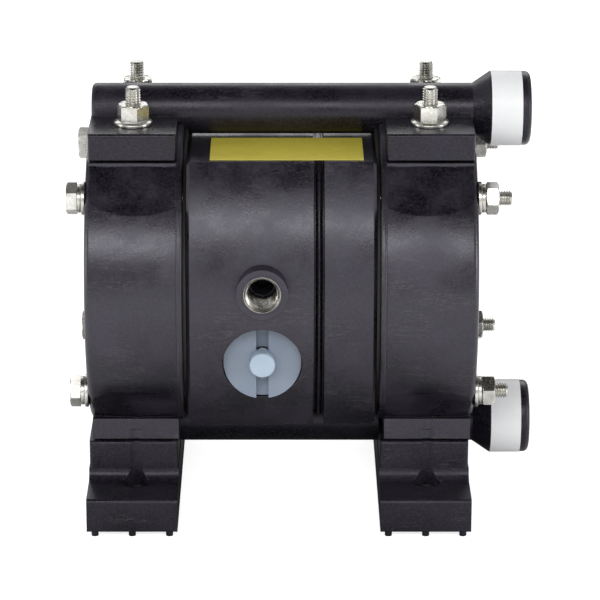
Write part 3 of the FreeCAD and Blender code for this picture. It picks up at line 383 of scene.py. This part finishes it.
# Black moulded plastic: cloudy bloom over black, speckle, faint scuffs, and edges that look rounded.
def mouldedPlastic(name, look):
    material, tree, shader, coords = startMaterial(name)
    mottle = addMottle(tree, coords, look)
    scuffs = useGroup(tree, scuffGroup, coords, {"Scale": look["scuffScale"]})
    bloom = addMix(tree, mottle.outputs["Cloud"], look["deepColor"], look["bloomColor"])
    grain = layColor(tree, bloom, mottle.outputs["Speckle"], look["speckleAmount"], look["speckleColor"])
    marked = layColor(tree, grain, scuffs.outputs["Scuffs"], look["scuffAmount"], look["scuffColor"])
    tree.links.new(marked, shader.inputs["Base Color"])
    addRoughness(tree, shader, mottle.outputs["Cloud"], look)
    shader.inputs["Specular IOR Level"].default_value = look["specular"]
    shader.inputs["Specular Tint"].default_value = look["tint"]
    bump = addBump(tree, shader, mottle.outputs["Height"], look)
    worn = tree.nodes.new("ShaderNodeBevel")
    worn.samples = look["edgeSamples"]
    worn.inputs["Radius"].default_value = look["edgeRadius"]
    tree.links.new(worn.outputs["Normal"], bump.inputs["Normal"])
    return material


housingLook = {
    "deepColor": (0.0015, 0.0015, 0.002, 1),
    "bloomColor": (0.019, 0.016, 0.024, 1),
    "speckleColor": (0.044, 0.038, 0.056, 1),
    "scuffColor": (0.16, 0.155, 0.16, 1),
    "cloudScale": 38.0,
    "speckleScale": 1000.0,
    "scuffScale": 110.0,
    "speckleAmount": 0.40,
    "scuffAmount": 0.30,
    "roughLow": 0.22,
    "roughHigh": 0.46,
    "edgeSamples": 4,
    "edgeRadius": 0.55 * mm,  # edges catch the light as if they were rounded this much
    "specular": 0.64,
    "tint": (0.92, 0.89, 1.0, 1),
    "bump": 0.35,
    "bumpDepth": 0.2 * mm,
}
manifoldLook = dict(housingLook, cloudScale=30.0, bloomColor=(0.015, 0.013, 0.019, 1), specular=0.36)


# Plated or turned metal: dull patches in a brighter tone, with a speckled roughness.
def turnedMetal(name, look):
    material, tree, shader, coords = startMaterial(name)
    mottle = addMottle(tree, coords, look)
    tone = addMix(tree, mottle.outputs["Cloud"], look["dullColor"], look["brightColor"])
    tree.links.new(tone, shader.inputs["Base Color"])
    shader.inputs["Metallic"].default_value = 1.0
    addRoughness(tree, shader, mottle.outputs["Speckle"], look)
    addBump(tree, shader, mottle.outputs["Height"], look)
    return material


zincLook = {
    "dullColor": (0.50, 0.49, 0.45, 1),
    "brightColor": (0.76, 0.75, 0.72, 1),
    "cloudScale": 160.0,
    "speckleScale": 2200.0,
    "roughLow": 0.18,
    "roughHigh": 0.34,
    "bump": 0.25,
    "bumpDepth": 0.05 * mm,
}
insertLook = dict(zincLook, dullColor=(0.30, 0.29, 0.27, 1), brightColor=(0.62, 0.60, 0.55, 1), roughLow=0.2)
steelLook = dict(zincLook, dullColor=(0.34, 0.34, 0.34, 1), brightColor=(0.58, 0.58, 0.58, 1), roughLow=0.25)
turnedLook = dict(zincLook, dullColor=(0.55, 0.56, 0.57, 1), brightColor=(0.72, 0.73, 0.74, 1), roughLow=0.28)


# Printed film or smooth plastic: even colour with faint cloud, specks and a soft gloss.
def paintedSheet(name, look):
    material, tree, shader, coords = startMaterial(name)
    mottle = addMottle(tree, coords, look)
    tone = addMix(tree, mottle.outputs["Cloud"], look["color"], look["shade"])
    specks = layColor(tree, tone, mottle.outputs["Speckle"], look["speckleAmount"], look["speckleColor"])
    tree.links.new(specks, shader.inputs["Base Color"])
    addRoughness(tree, shader, mottle.outputs["Cloud"], look)
    addBump(tree, shader, mottle.outputs["Height"], look)
    return material


yellowLook = {
    "color": (0.76, 0.65, 0.09, 1),
    "shade": (0.68, 0.57, 0.075, 1),
    "speckleColor": (0.60, 0.50, 0.07, 1),
    "cloudScale": 90.0,
    "speckleScale": 1400.0,
    "speckleAmount": 0.25,
    "roughLow": 0.4,
    "roughHigh": 0.52,
    "bump": 0.15,
    "bumpDepth": 0.05 * mm,
}
whiteLook = dict(yellowLook, color=(0.95, 0.955, 0.96, 1), shade=(0.92, 0.93, 0.94, 1),
                 speckleColor=(0.80, 0.83, 0.86, 1), speckleAmount=0.10)
buttonLook = dict(whiteLook, color=(0.45, 0.56, 0.68, 1), shade=(0.40, 0.51, 0.63, 1),
                  roughLow=0.3, roughHigh=0.4)
ballLook = dict(whiteLook, color=(0.80, 0.82, 0.82, 1), shade=(0.72, 0.75, 0.77, 1),
                roughLow=0.3, roughHigh=0.4)
rubberLook = dict(yellowLook, color=(0.005, 0.005, 0.005, 1), shade=(0.010, 0.010, 0.010, 1),
                  speckleColor=(0.02, 0.02, 0.02, 1), roughLow=0.6, roughHigh=0.75)
seatLook = dict(yellowLook, color=(0.55, 0.54, 0.50, 1), shade=(0.47, 0.46, 0.42, 1),
                speckleColor=(0.40, 0.39, 0.36, 1))


# Milky, half-clear plastic: rough transmission with a pale body colour and a cloudy gloss.
def milkyPlastic(name, look):
    material, tree, shader, coords = startMaterial(name)
    mottle = addMottle(tree, coords, look)
    tone = addMix(tree, mottle.outputs["Cloud"], look["color"], look["shade"])
    tree.links.new(tone, shader.inputs["Base Color"])
    addRoughness(tree, shader, mottle.outputs["Speckle"], look)
    shader.inputs["Transmission Weight"].default_value = look["clear"]
    shader.inputs["IOR"].default_value = look["refraction"]
    addBump(tree, shader, mottle.outputs["Height"], look)
    return material


capLook = {
    "color": (0.38, 0.45, 0.56, 1),
    "shade": (0.33, 0.40, 0.51, 1),
    "cloudScale": 60.0,
    "speckleScale": 1800.0,
    "roughLow": 0.28,
    "roughHigh": 0.4,
    "clear": 0.35,
    "refraction": 1.45,
    "bump": 0.15,
    "bumpDepth": 0.05 * mm,
}

darkSteel = turnedMetal("darkSteel", steelLook)
slotMaterials = {
    "black_housing": mouldedPlastic("housingPlastic", housingLook),
    "black_manifold": mouldedPlastic("manifoldPlastic", manifoldLook),
    "zinc_steel": turnedMetal("zincPlate", zincLook),
    "dark_steel": darkSteel,
    "insert_metal": turnedMetal("insertMetal", insertLook),
    "white_tape": paintedSheet("whiteTape", whiteLook),
    "yellow_label": paintedSheet("yellowFilm", yellowLook),
    "clear_cap": milkyPlastic("milkyCap", capLook),
    "white_button": paintedSheet("buttonPlastic", buttonLook),
    "black_rubber": paintedSheet("blackRubber", rubberLook),
    "ball_white": paintedSheet("ballPlastic", ballLook),
    "seat_plastic": paintedSheet("seatPlastic", seatLook),
    "valve_metal": turnedMetal("turnedAluminium", turnedLook),
    "spool_metal": darkSteel,
}


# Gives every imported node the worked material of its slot.
def dressNodes():
    for part in frame["record"]["subparts"]:
        node = frame["nodes"][part["node"]]
        for slot in node.material_slots:
            slot.material = slotMaterials[part["material_slot"]]


dressNodes()
print("materials made:", len(slotMaterials))


# Threaded studs and bolts

threadLook = {
    "pitch": 1.0 * mm,
    "depth": 0.64 * mm,
    "radius": 2.98 * mm,
    "chamfer": 0.8 * mm,
    "steepness": 2.6,  # how fast the flanks rise
    "root": 0.15,  # how wide the flat root is
    "stepsPerTurn": 12,
    "around": 48,
}


# Heights and angles of a threaded wall's grid.
def threadGrid(length, look):
    rows = int(length / look["pitch"] * look["stepsPerTurn"]) + 1
    return np.linspace(0, length, rows)[:, None], anglesRound(look["around"])


# Wave that climbs one pitch a turn between 0 and 1, cut flat at both ends.
def threadWave(height, angle, look):
    phase = (height / look["pitch"] - angle / fullTurn) % 1.0
    return np.clip(np.abs(phase - 0.5) * look["steepness"] - look["root"], 0, 1)


# Rod whose radius follows the thread wave, with both ends closed and chamfered.
def threadShell(length):
    look = threadLook
    height, angle = threadGrid(length, look)
    radius = look["radius"] - look["depth"] * (1 - threadWave(height, angle, look))
    endRoom = np.minimum(height, length - height)
    radius = np.minimum(radius, look["radius"] - look["chamfer"] + endRoom)
    foot = np.zeros((1, look["around"], 3))
    top = foot + (0, 0, length)
    return surface(np.concatenate([foot, pointsRoundZ(radius, angle, height), top]))


studLook = {
    "sideways": 57.5 * mm,
    "depthways": 20.0 * mm,
    "spins": [40.0, 24.0, 8.0, 16.6],  # how far each nut was left turned, in degrees
}
studPlaces = [(side * studLook["sideways"], row * studLook["depthways"])
              for side in (1, -1) for row in (1, -1)]


def makeStuds():
    for node, name in (("upper_studs", "upperStudThreads"), ("lower_studs", "lowerStudThreads")):
        low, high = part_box(node)
        shells = [place(threadShell(high.z - low.z), "z", (x, y, low.z)) for x, y in studPlaces]
        makePiece(name, shells, "zinc_steel", node=node)


# Nuts and hexagon heads

nutLook = {
    "across": 11.0 * mm,
    "chamfer": 30.0,
    "land": 0.1 * mm,  # how far inside the flats the chamfer meets the end face
    "rows": 24,
    "around": 96,
    "bore": 3.02 * mm,
}


# Radius is the smaller of the hexagon's flat and a chamfer cone from each end; spin turns the corners.
def hexShell(thickness, spin, bore=0.0, chamferFoot=False):
    look = nutLook
    angle = anglesRound(look["around"])
    half = look["across"] / 2
    flat = half / np.cos((angle + math.pi / 6) % (math.pi / 3) - math.pi / 6)
    height = np.linspace(0, thickness, look["rows"])[:, None]
    slope = 1 / math.tan(math.radians(look["chamfer"]))
    radius = np.minimum(flat, half + (thickness - height) * slope - look["land"])
    if chamferFoot:
        radius = np.minimum(radius, half + height * slope - look["land"])
    angle = angle + math.radians(spin)
    ring = pointsRoundZ(bore, angle, 0 * angle)
    top = ring + (0, 0, thickness)
    return surface(np.concatenate([ring, pointsRoundZ(radius, angle, height), top]), closeRows=bore > 0)


flangeNutLook = {
    "flange": 7.6 * mm,
    "flangeThick": 1.3 * mm,
    "crown": 0.6 * mm,
    "neck": 6.0 * mm,
    "edge": 0.3 * mm,
}


# Hexagon nut on a round flange that slopes down to its rim.
def flangeNutShells(thickness, spin):
    look = flangeNutLook
    bore = nutLook["bore"]
    crown = look["flangeThick"] + look["crown"]
    flange = [(bore, 0), (look["flange"], 0), (look["flange"], look["flangeThick"]), (look["neck"], crown),
              (bore, crown)]
    return [ringShell(flange, rounding=look["edge"]), hexShell(thickness, spin, bore)]


def makeFlangeNuts():
    for node, name, along in (("upper_flange_nuts", "upperFlangeNuts", "z"),
                              ("lower_flange_nuts", "lowerFlangeNuts", "-z")):
        low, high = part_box(node)
        seat = low.z if along == "z" else high.z
        shells = []
        for (x, y), spin in zip(studPlaces, studLook["spins"]):
            nut = flangeNutShells(high.z - low.z, spin)
            shells += [place(shell, along, (x, y, seat)) for shell in nut]
        makePiece(name, shells, "zinc_steel", node=node)


tieLook = {
    "offset": 39.3 * mm,
    "spins": [12.0, 37.0, 4.0, 22.0],
    "threadBefore": 4.0 * mm,  # length of thread that shows before the nut
    "shankRadius": 2.3 * mm,
    "shankAround": 32,
}
tiePlaces = [(row * tieLook["offset"], axisHeight + level * tieLook["offset"])
             for row in (1, -1) for level in (1, -1)]


# Each tie bolt is a hexagon head, a plain shank and a threaded end; its nut is a piece of its own.
def makeTieBolts():
    look = tieLook
    low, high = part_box("tie_bolts")
    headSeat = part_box("tie_spring_washers")[0].x
    nutLow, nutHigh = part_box("tie_nuts")
    threadStart = nutLow.x - look["threadBefore"]
    shank = rectangle(0, look["shankRadius"], 0, threadStart - headSeat)
    bolts = []
    for (y, z), spin in zip(tiePlaces, look["spins"]):
        bolts.append(place(hexShell(headSeat - low.x, spin), "-x", (headSeat, y, z)))
        bolts.append(place(surface(revolve(shank, look["shankAround"])), "x", (headSeat, y, z)))
        bolts.append(place(threadShell(high.x - threadStart), "x", (threadStart, y, z)))
    makePiece("tieBoltThreads", bolts, "zinc_steel", node="tie_bolts")
    nuts = []
    for (y, z), spin in zip(tiePlaces, reversed(look["spins"])):
        nut = hexShell(nutHigh.x - nutLow.x, spin, nutLook["bore"], chamferFoot=True)
        nuts.append(place(nut, "x", (nutLow.x, y, z)))
    makePiece("tieNutFaces", nuts, "zinc_steel", node="tie_nuts")


# Washers

washerLook = {
    "bore": 3.3 * mm,
    "edge": 0.35 * mm,
    "plainRadius": 6.5 * mm,
    "plainThick": 1.4 * mm,
    "springRadius": 5.6 * mm,
    "springThick": 1.6 * mm,
    "springGap": 8.0,  # the split, in degrees
    "springRise": 0.25 * mm,
    "springSteps": 80,
}


def plainWasherShell():
    look = washerLook
    ring = rectangle(look["bore"], look["plainRadius"], 0, look["plainThick"])
    return ringShell(ring, rounding=look["edge"])


# A square section with soft corners goes once round Z, rising a little, and is closed at both ends.
def springWasherShell():
    look = washerLook
    corners = rectangle(look["bore"], look["springRadius"], 0, look["springThick"] - look["springRise"])
    section = roundCorners(corners, look["edge"])
    turn = np.linspace(0, 1, look["springSteps"])[:, None]
    angle = math.radians(90 + look["springGap"] / 2) + turn * math.radians(360 - look["springGap"])
    height = section[:, 1][None, :] + turn * look["springRise"]
    return closedSweep(pointsRoundZ(section[:, 0][None, :], angle, height))


def makeWashers():
    for node, name, makeShell, thickness in (
            ("tie_plain_washers", "plainWasherRings", plainWasherShell, washerLook["plainThick"]),
            ("tie_spring_washers", "springWasherRings", springWasherShell, washerLook["springThick"])):
        low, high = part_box(node)
        shells = []
        for y, z in tiePlaces:
            shells.append(place(makeShell(), "x", (high.x - thickness, y, z)))
            shells.append(place(makeShell(), "-x", (low.x + thickness, y, z)))
        makePiece(name, shells, "zinc_steel", node=node)


# Threaded bushes of the air ports

bushLook = {
    "outer": 7.8 * mm,
    "crest": 5.75 * mm,
    "depth": 0.75 * mm,
    "mouth": 7.0 * mm,
    "mouthDepth": 1.6 * mm,
    "lipInner": 7.15 * mm,
    "lipOuter": 7.95 * mm,
    "lipRise": 0.03 * mm,
    "lipFoot": 0.05 * mm,
    "pitch": 1.337 * mm,
    "steepness": 2.4,
    "root": 0.1,
    "stepsPerTurn": 12,
    "around": 96,
}


# Ring whose inner wall follows a thread: its radius swings once a pitch and opens to a cone at the mouth.
def threadedBush(length, look):
    height, angle = threadGrid(length, look)
    cone = look["mouth"] - height * (look["mouth"] - look["crest"]) / look["mouthDepth"]
    inner = np.maximum(look["crest"] + look["depth"] * threadWave(height, angle, look), cone)
    ends = np.array([length, 0.0])[:, None]
    wall = pointsRoundZ(inner, angle, height)
    outside = pointsRoundZ(np.full((2, 1), look["outer"]), angle, ends)
    return surface(np.concatenate([wall, outside]), closeRows=True)


# A threaded bush in each air port, and a thin lip round its mouth.
def makeBushes():
    look = bushLook
    lip = rectangle(look["lipInner"], look["lipOuter"], -look["lipRise"], look["lipFoot"])
    lips = []
    for node, name, along in (("air_inlet_bush", "inletBushThreads", "y"),
                              ("exhaust_bush", "exhaustBushThreads", "-y")):
        low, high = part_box(node)
        mouth = low.y if along == "y" else high.y
        centre = ((low.x + high.x) / 2, mouth, (low.z + high.z) / 2)
        shell = place(threadedBush(high.y - low.y, look), along, centre)
        makePiece(name, [shell], "insert_metal", node=node)
        lips.append(place(ringShell(lip), along, centre))
    makePiece("portLips", lips, "black_housing")


# Threads cut in the two liquid ports

portLook = {
    "outer": 7.5 * mm,
    "crest": 6.6 * mm,
    "depth": 0.8 * mm,
    "mouth": 7.4 * mm,
    "mouthDepth": 1.2 * mm,
    "pitch": 1.337 * mm,
    "steepness": 2.4,
    "root": 0.1,
    "stepsPerTurn": 12,
    "around": 96,
    "length": 12.0 * mm,
    "setback": 0.4 * mm,
    "height": 64.6 * mm,
    "upperEnd": 97.7 * mm,
    "lowerEnd": 99.9 * mm,
}


def makePortThreads():
    look = portLook
    shells = []
    for end, rise in ((look["upperEnd"], look["height"]), (look["lowerEnd"], -look["height"])):
        thread = threadedBush(look["length"], look)
        shells.append(place(thread, "-x", (end - look["setback"], 0, axisHeight + rise)))
    makePiece("portThreads", shells, "black_manifold")


# Rubber rims of the diaphragms, seen in the gap between each chamber and the body

rimLook = {
    "middle": 37.3 * mm,
    "inner": 51.5 * mm,
    "outer": 58.9 * mm,
    "half": 0.7 * mm,
    "bead": 0.35 * mm,
    "around": 160,
}


def makeDiaphragmRims():
    look = rimLook
    ring = rectangle(look["inner"], look["outer"], -look["half"], look["half"])
    rim = ringShell(ring, look["around"], look["bead"])
    shells = [place(rim, "x", (side * look["middle"], 0, axisHeight)) for side in (1, -1)]
    makePiece("diaphragmRims", shells, "black_rubber")


# Diaphragms, which in the pump bend with the rod, made here in wedges that ride on no body; each wedge has a
# rolled hump along its radius

membraneLook = {
    "wedges": 12,
    "columns": 7,
    "rows": 60,
    "bore": 4.3 * mm,
    "rollInner": 31.0 * mm,
    "rollOuter": 44.0 * mm,
    "half": 0.79 * mm,
    "free": 45.2 * mm,  # radius where the bend starts, beside the clamped edge
    "held": 29.5 * mm,  # radius where it ends, at the discs
    "margin": 0.01 * mm,
}


# Rows run out along the radius with a rolled hump; columns go over the wedge and back below it.
def wedgeShell(outer, base, hump, startAngle, endAngle, side):
    look = membraneLook
    radius = np.linspace(look["bore"], outer, look["rows"])
    share = np.clip((radius - look["rollInner"]) / (look["rollOuter"] - look["rollInner"]), 0, 1)
    middle = base + hump * np.sin(share * math.pi) ** 2
    angle = np.linspace(startAngle, endAngle, look["columns"])
    around = np.concatenate([angle, angle[::-1]])[None, :]
    lift = np.repeat([look["half"], -look["half"]], look["columns"])[None, :]
    radius = np.concatenate([radius[:1], radius, radius[-1:]])[:, None]
    middle = np.concatenate([middle[:1], middle, middle[-1:]])[:, None]
    opening = np.ones((len(radius), 1))  # the first and last rows have no thickness, which closes the wedge
    opening[0] = 0
    opening[-1] = 0
    x = side * (middle + lift * opening)
    y = radius * np.cos(around)
    z = axisHeight + radius * np.sin(around)
    return surface(np.stack([x, y, z], axis=2))


def makeDiaphragms():
    look = membraneLook
    step = fullTurn / look["wedges"]
    for node, name, side in (("right_diaphragm", "rightMembrane", 1),
                             ("left_diaphragm", "leftMembrane", -1)):
        low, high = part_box(node)
        near, far = sorted((abs(low.x), abs(high.x)))
        outer = (high.y - low.y) / 2 - 2 * look["margin"]
        base = near + look["half"] + look["margin"]
        hump = far - near - 2 * look["half"] - 2 * look["margin"]
        for wedge in range(look["wedges"]):
            angle = wedge * step
            shell = wedgeShell(outer, base, hump, angle, angle + step, side)
            piece = makePiece(f"{name}{wedge + 1:02d}", [shell], "black_rubber", body=None, node=node)
            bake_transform(piece)


# Coil spring behind the reset button, which in the pump shortens as the button goes in; here it is made at
# full length with a mesh of its own

springLook = {
    "radius": 3.5 * mm,
    "wire": 0.34 * mm,
    "pitch": 1.2 * mm,
    "stepsPerTurn": 36,
    "around": 12,
    "travel": 3.5 * mm,
}


# A round wire section follows a helix about Y; both ends are closed.
def makePushSpring():
    look = springLook
    low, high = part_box("button_spring")
    wire = look["wire"]
    whole = high.y - low.y
    length = whole - 2 * wire
    turns = length / look["pitch"]
    share = np.linspace(0, 1, int(turns * look["stepsPerTurn"]) + 1)[:, None]
    angle = share * turns * fullTurn
    section = anglesRound(look["around"])
    radius = look["radius"] + wire * np.cos(section)
    x = (low.x + high.x) / 2 + radius * np.cos(angle)
    y = low.y + wire + share * length + wire * np.sin(section)
    z = (low.z + high.z) / 2 + radius * np.sin(angle)
    piece = makePiece("pushSpringCoil", [closedSweep(np.stack([x, y, z], axis=2))], "dark_steel",
                      node="button_spring")
    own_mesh(piece)


# Rounded edges of the chambers, beside the body

edgeLook = {
    "inner": 38.0 * mm,
    "width": 2.4 * mm,
    "radius": 62.5 * mm,
    "depth": 2.4 * mm,
    "edge": 1.05 * mm,
    "roundSteps": 6,
    "from": -43.0,
    "to": 37.0,
    "steps": 80,
}


# Section points (along X, distance from the arc's centre) follow an arc in the YZ plane.
def arcShell(section, centre, start, end, steps, facing):
    angle = np.radians(np.linspace(start, end, steps))[:, None]
    distance = section[:, 1][None, :]
    x = section[:, 0][None, :] + 0 * angle
    y = facing * (centre[0] + distance * np.cos(angle))
    z = centre[1] + distance * np.sin(angle)
    return closedSweep(np.stack([x, y, z], axis=2))


def makeChamberEdges():
    look = edgeLook
    shells = []
    for side in (1, -1):
        start = side * look["inner"]
        end = side * (look["inner"] + look["width"])
        corners = rectangle(start, end, look["radius"] - look["depth"], look["radius"])
        section = roundCorners(corners, look["edge"], look["roundSteps"])
        shells += [arcShell(section, (0, axisHeight), look["from"], look["to"], look["steps"], facing)
                   for facing in (1, -1)]
    makePiece("chamberEdges", shells, "black_housing")


# Half-round bead with a flat foot on each side, in the groove between the body and its side section

grooveLook = {
    "bow": 80.0 * mm,
    "centre": -21.0 * mm,
    "foot": 5.6 * mm,
    "ledge": 4.8 * mm,
    "bead": 1.25 * mm,
    "crown": 2.6 * mm,
    "sideGap": 0.03 * mm,
    "arc": 40.0,
    "steps": 80,
    "roundSteps": 12,
}


def makeGrooveBeads():
    look = grooveLook
    low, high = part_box("spacer_plate")
    middle = (low.x + high.x) / 2
    half = (high.x - low.x) / 2 - look["sideGap"]
    ledge = look["bow"] - look["ledge"]
    foot = look["bow"] - look["foot"]
    rise = look["ledge"] - look["crown"]
    turn = np.linspace(0, math.pi, look["roundSteps"])
    crown = [(middle + look["bead"] * math.cos(step), ledge + rise * math.sin(step)) for step in turn]
    corners = [(middle - half, ledge), (middle - half, foot), (middle + half, foot), (middle + half, ledge)]
    section = np.array(corners + crown)
    centre = (look["centre"], axisHeight)
    shells = [arcShell(section, centre, -look["arc"], look["arc"], look["steps"], facing)
              for facing in (1, -1)]
    makePiece("grooveBeads", shells, "black_manifold")


makeStuds()
makeFlangeNuts()
makeTieBolts()
makeWashers()
makeBushes()
makePortThreads()
makeDiaphragmRims()
makeDiaphragms()
makePushSpring()
makeChamberEdges()
makeGrooveBeads()
print("fasteners, bushes, diaphragms, spring, edges and beads made")


# Stage, light and camera

stageLook = {
    "floorColor": (0.86, 0.86, 0.86, 1),
    "floorGlow": 0.78,  # added where the camera, a gloss or a clear piece looks at the floor
    "floorRoughness": 0.9,
    "floorSize": 6.0,
    "shadeReach": 0.35,  # how far from the pump its shade dims the floor in a reflection
    "shadePower": 2.5,
    "horizon": 0.85,
    "front": 0.72,
    "back": 0.24,
    "backHigh": 0.60,
    "overhead": 0.03,
    "horizonRise": (0.12, 0.42),  # these give the Z of the view direction between which each level changes
    "frontRise": (0.66, 0.86),
    "backRise": (0.35, 0.65),
    "backOverRise": (0.80, 0.97),
    "facing": (0.45, -0.25),  # and this its Y, from behind to in front
}


# World: pale at the horizon and in front, dim low down behind and paler above that, dark overhead.
def makeWorld():
    look = stageLook
    world = bpy.data.worlds.new("studio")
    bpy.context.scene.world = world
    world.use_nodes = True
    tree = world.node_tree
    split = tree.nodes.new("ShaderNodeSeparateXYZ")
    tree.links.new(tree.nodes.new("ShaderNodeTexCoord").outputs["Generated"], split.inputs["Vector"])
    rise = split.outputs["Z"]
    low = addRange(tree, rise, *look["horizonRise"], look["horizon"], look["front"])
    frontDim = addRange(tree, rise, *look["frontRise"], 1.0, look["overhead"] / look["front"])
    back = addRange(tree, rise, *look["backRise"], look["back"], look["backHigh"])
    backDim = addRange(tree, rise, *look["backOverRise"], 1.0, look["overhead"] / look["backHigh"])
    facing = addRange(tree, split.outputs["Y"], *look["facing"])
    frontPart = multiply(tree, multiply(tree, low, frontDim), facing)
    backPart = multiply(tree, multiply(tree, back, backDim), addMath(tree, "SUBTRACT", 1.0, facing))
    grey = tree.nodes.new("ShaderNodeCombineColor")
    level = addMath(tree, "ADD", frontPart, backPart)
    for socket in grey.inputs[:3]:
        tree.links.new(level, socket)
    tree.links.new(grey.outputs["Color"], tree.nodes["Background"].inputs["Color"])


# Floor: pale and dull, with a glow for camera, glossy and transmission rays so that it reads as white.
# For the last two it carries a painted shade near the pump: its colour and glow darken where its openness,
# raised to a power, falls.
def makeFloor():
    look = stageLook
    size = look["floorSize"]
    mesh = bpy.data.meshes.new("floor")
    corners = [(-size, -size, 0), (size, -size, 0), (size, size, 0), (-size, size, 0)]
    mesh.from_pydata(corners, [], [(0, 1, 2, 3)])
    floor = bpy.data.objects.new("floor", mesh)
    bpy.context.scene.collection.objects.link(floor)
    material = bpy.data.materials.new("paleFloor")
    material.use_nodes = True
    tree = material.node_tree
    shader = tree.nodes["Principled BSDF"]
    shader.inputs["Roughness"].default_value = look["floorRoughness"]
    shader.inputs["Emission Color"].default_value = (1, 1, 1, 1)
    path = tree.nodes.new("ShaderNodeLightPath")
    # painted shade: this occlusion darkens the floor's colour and glow near the pump in glossy and
    # transmission rays
    shade = tree.nodes.new("ShaderNodeAmbientOcclusion")
    shade.inputs["Distance"].default_value = look["shadeReach"]
    mirrored = addMath(tree, "MAXIMUM", path.outputs["Is Glossy Ray"], path.outputs["Is Transmission Ray"])
    openness = addMath(tree, "POWER", shade.outputs["AO"], look["shadePower"])
    closed = addMath(tree, "SUBTRACT", 1.0, openness)
    level = addMath(tree, "SUBTRACT", 1.0, multiply(tree, mirrored, closed))
    tree.links.new(addMix(tree, level, (0, 0, 0, 1), look["floorColor"]), shader.inputs["Base Color"])
    seen = addMath(tree, "MAXIMUM", path.outputs["Is Camera Ray"], mirrored)
    glow = multiply(tree, multiply(tree, seen, level), look["floorGlow"])
    tree.links.new(glow, shader.inputs["Emission Strength"])
    mesh.materials.append(material)


lampLooks = {
    "frontBox": {"spot": (-0.2, -1.3, 0.92), "target": (0, 0, 0.09), "size": (1.5, 0.42), "power": 8.5},
    "rightBox": {"spot": (1.4, -0.5, 0.35), "target": (0, 0, 0.09), "size": (0.4, 0.6), "power": 5.0},
    "leftBox": {"spot": (-1.4, -0.3, 0.35), "target": (0, 0, 0.09), "size": (0.4, 0.6), "power": 4.0},
    "backBox": {"spot": (0.0, 1.3, 0.8), "target": (0, 0, 0.15), "size": (1.4, 0.6), "power": 5.0},
}


# A rectangular soft box that stands at its spot and is turned to its target.
def makeAreaLight(name, look):
    light = bpy.data.lights.new(name, "AREA")
    light.shape = "RECTANGLE"
    light.size, light.size_y = look["size"]
    light.energy = look["power"]
    lamp = bpy.data.objects.new(name, light)
    bpy.context.scene.collection.objects.link(lamp)
    lamp.location = look["spot"]
    aim = np.array(look["target"]) - np.array(look["spot"])
    pitch = math.atan2(math.hypot(aim[0], aim[1]), -aim[2])
    turn = math.atan2(aim[1], aim[0]) - math.pi / 2
    lamp.rotation_euler = (pitch, 0, turn)


cameraLook = {
    "elevation": 18.0,
    "distance": 1.270,
    "lens": 190.5,
    "sensor": 36.0,
    "target": (0.0, 0.0, axisHeight),
    "targetPixel": (281.5, 264.0),  # where the target stands in the picture
    "imageSize": 600.0,
    "clipEnd": 20.0,
}


def makeCamera():
    look = cameraLook
    data = bpy.data.cameras.new("photoCamera")
    camera = bpy.data.objects.new("photoCamera", data)
    bpy.context.scene.collection.objects.link(camera)
    elevation = math.radians(look["elevation"])
    distance = look["distance"]
    x, y, z = look["target"]
    camera.location = (x, y - distance * math.cos(elevation), z + distance * math.sin(elevation))
    camera.rotation_euler = (math.pi / 2 - elevation, 0, 0)
    data.lens = look["lens"]
    data.sensor_width = look["sensor"]
    data.clip_end = look["clipEnd"]
    half = look["imageSize"] / 2
    data.shift_x = (half - look["targetPixel"][0]) / look["imageSize"]
    data.shift_y = (look["targetPixel"][1] - half) / look["imageSize"]
    bpy.context.scene.camera = camera


makeWorld()
makeFloor()
for lampName, lampLook in lampLooks.items():
    makeAreaLight(lampName, lampLook)
makeCamera()
bpy.context.scene.view_settings.view_transform = "Standard"
print("stage, light and camera made")
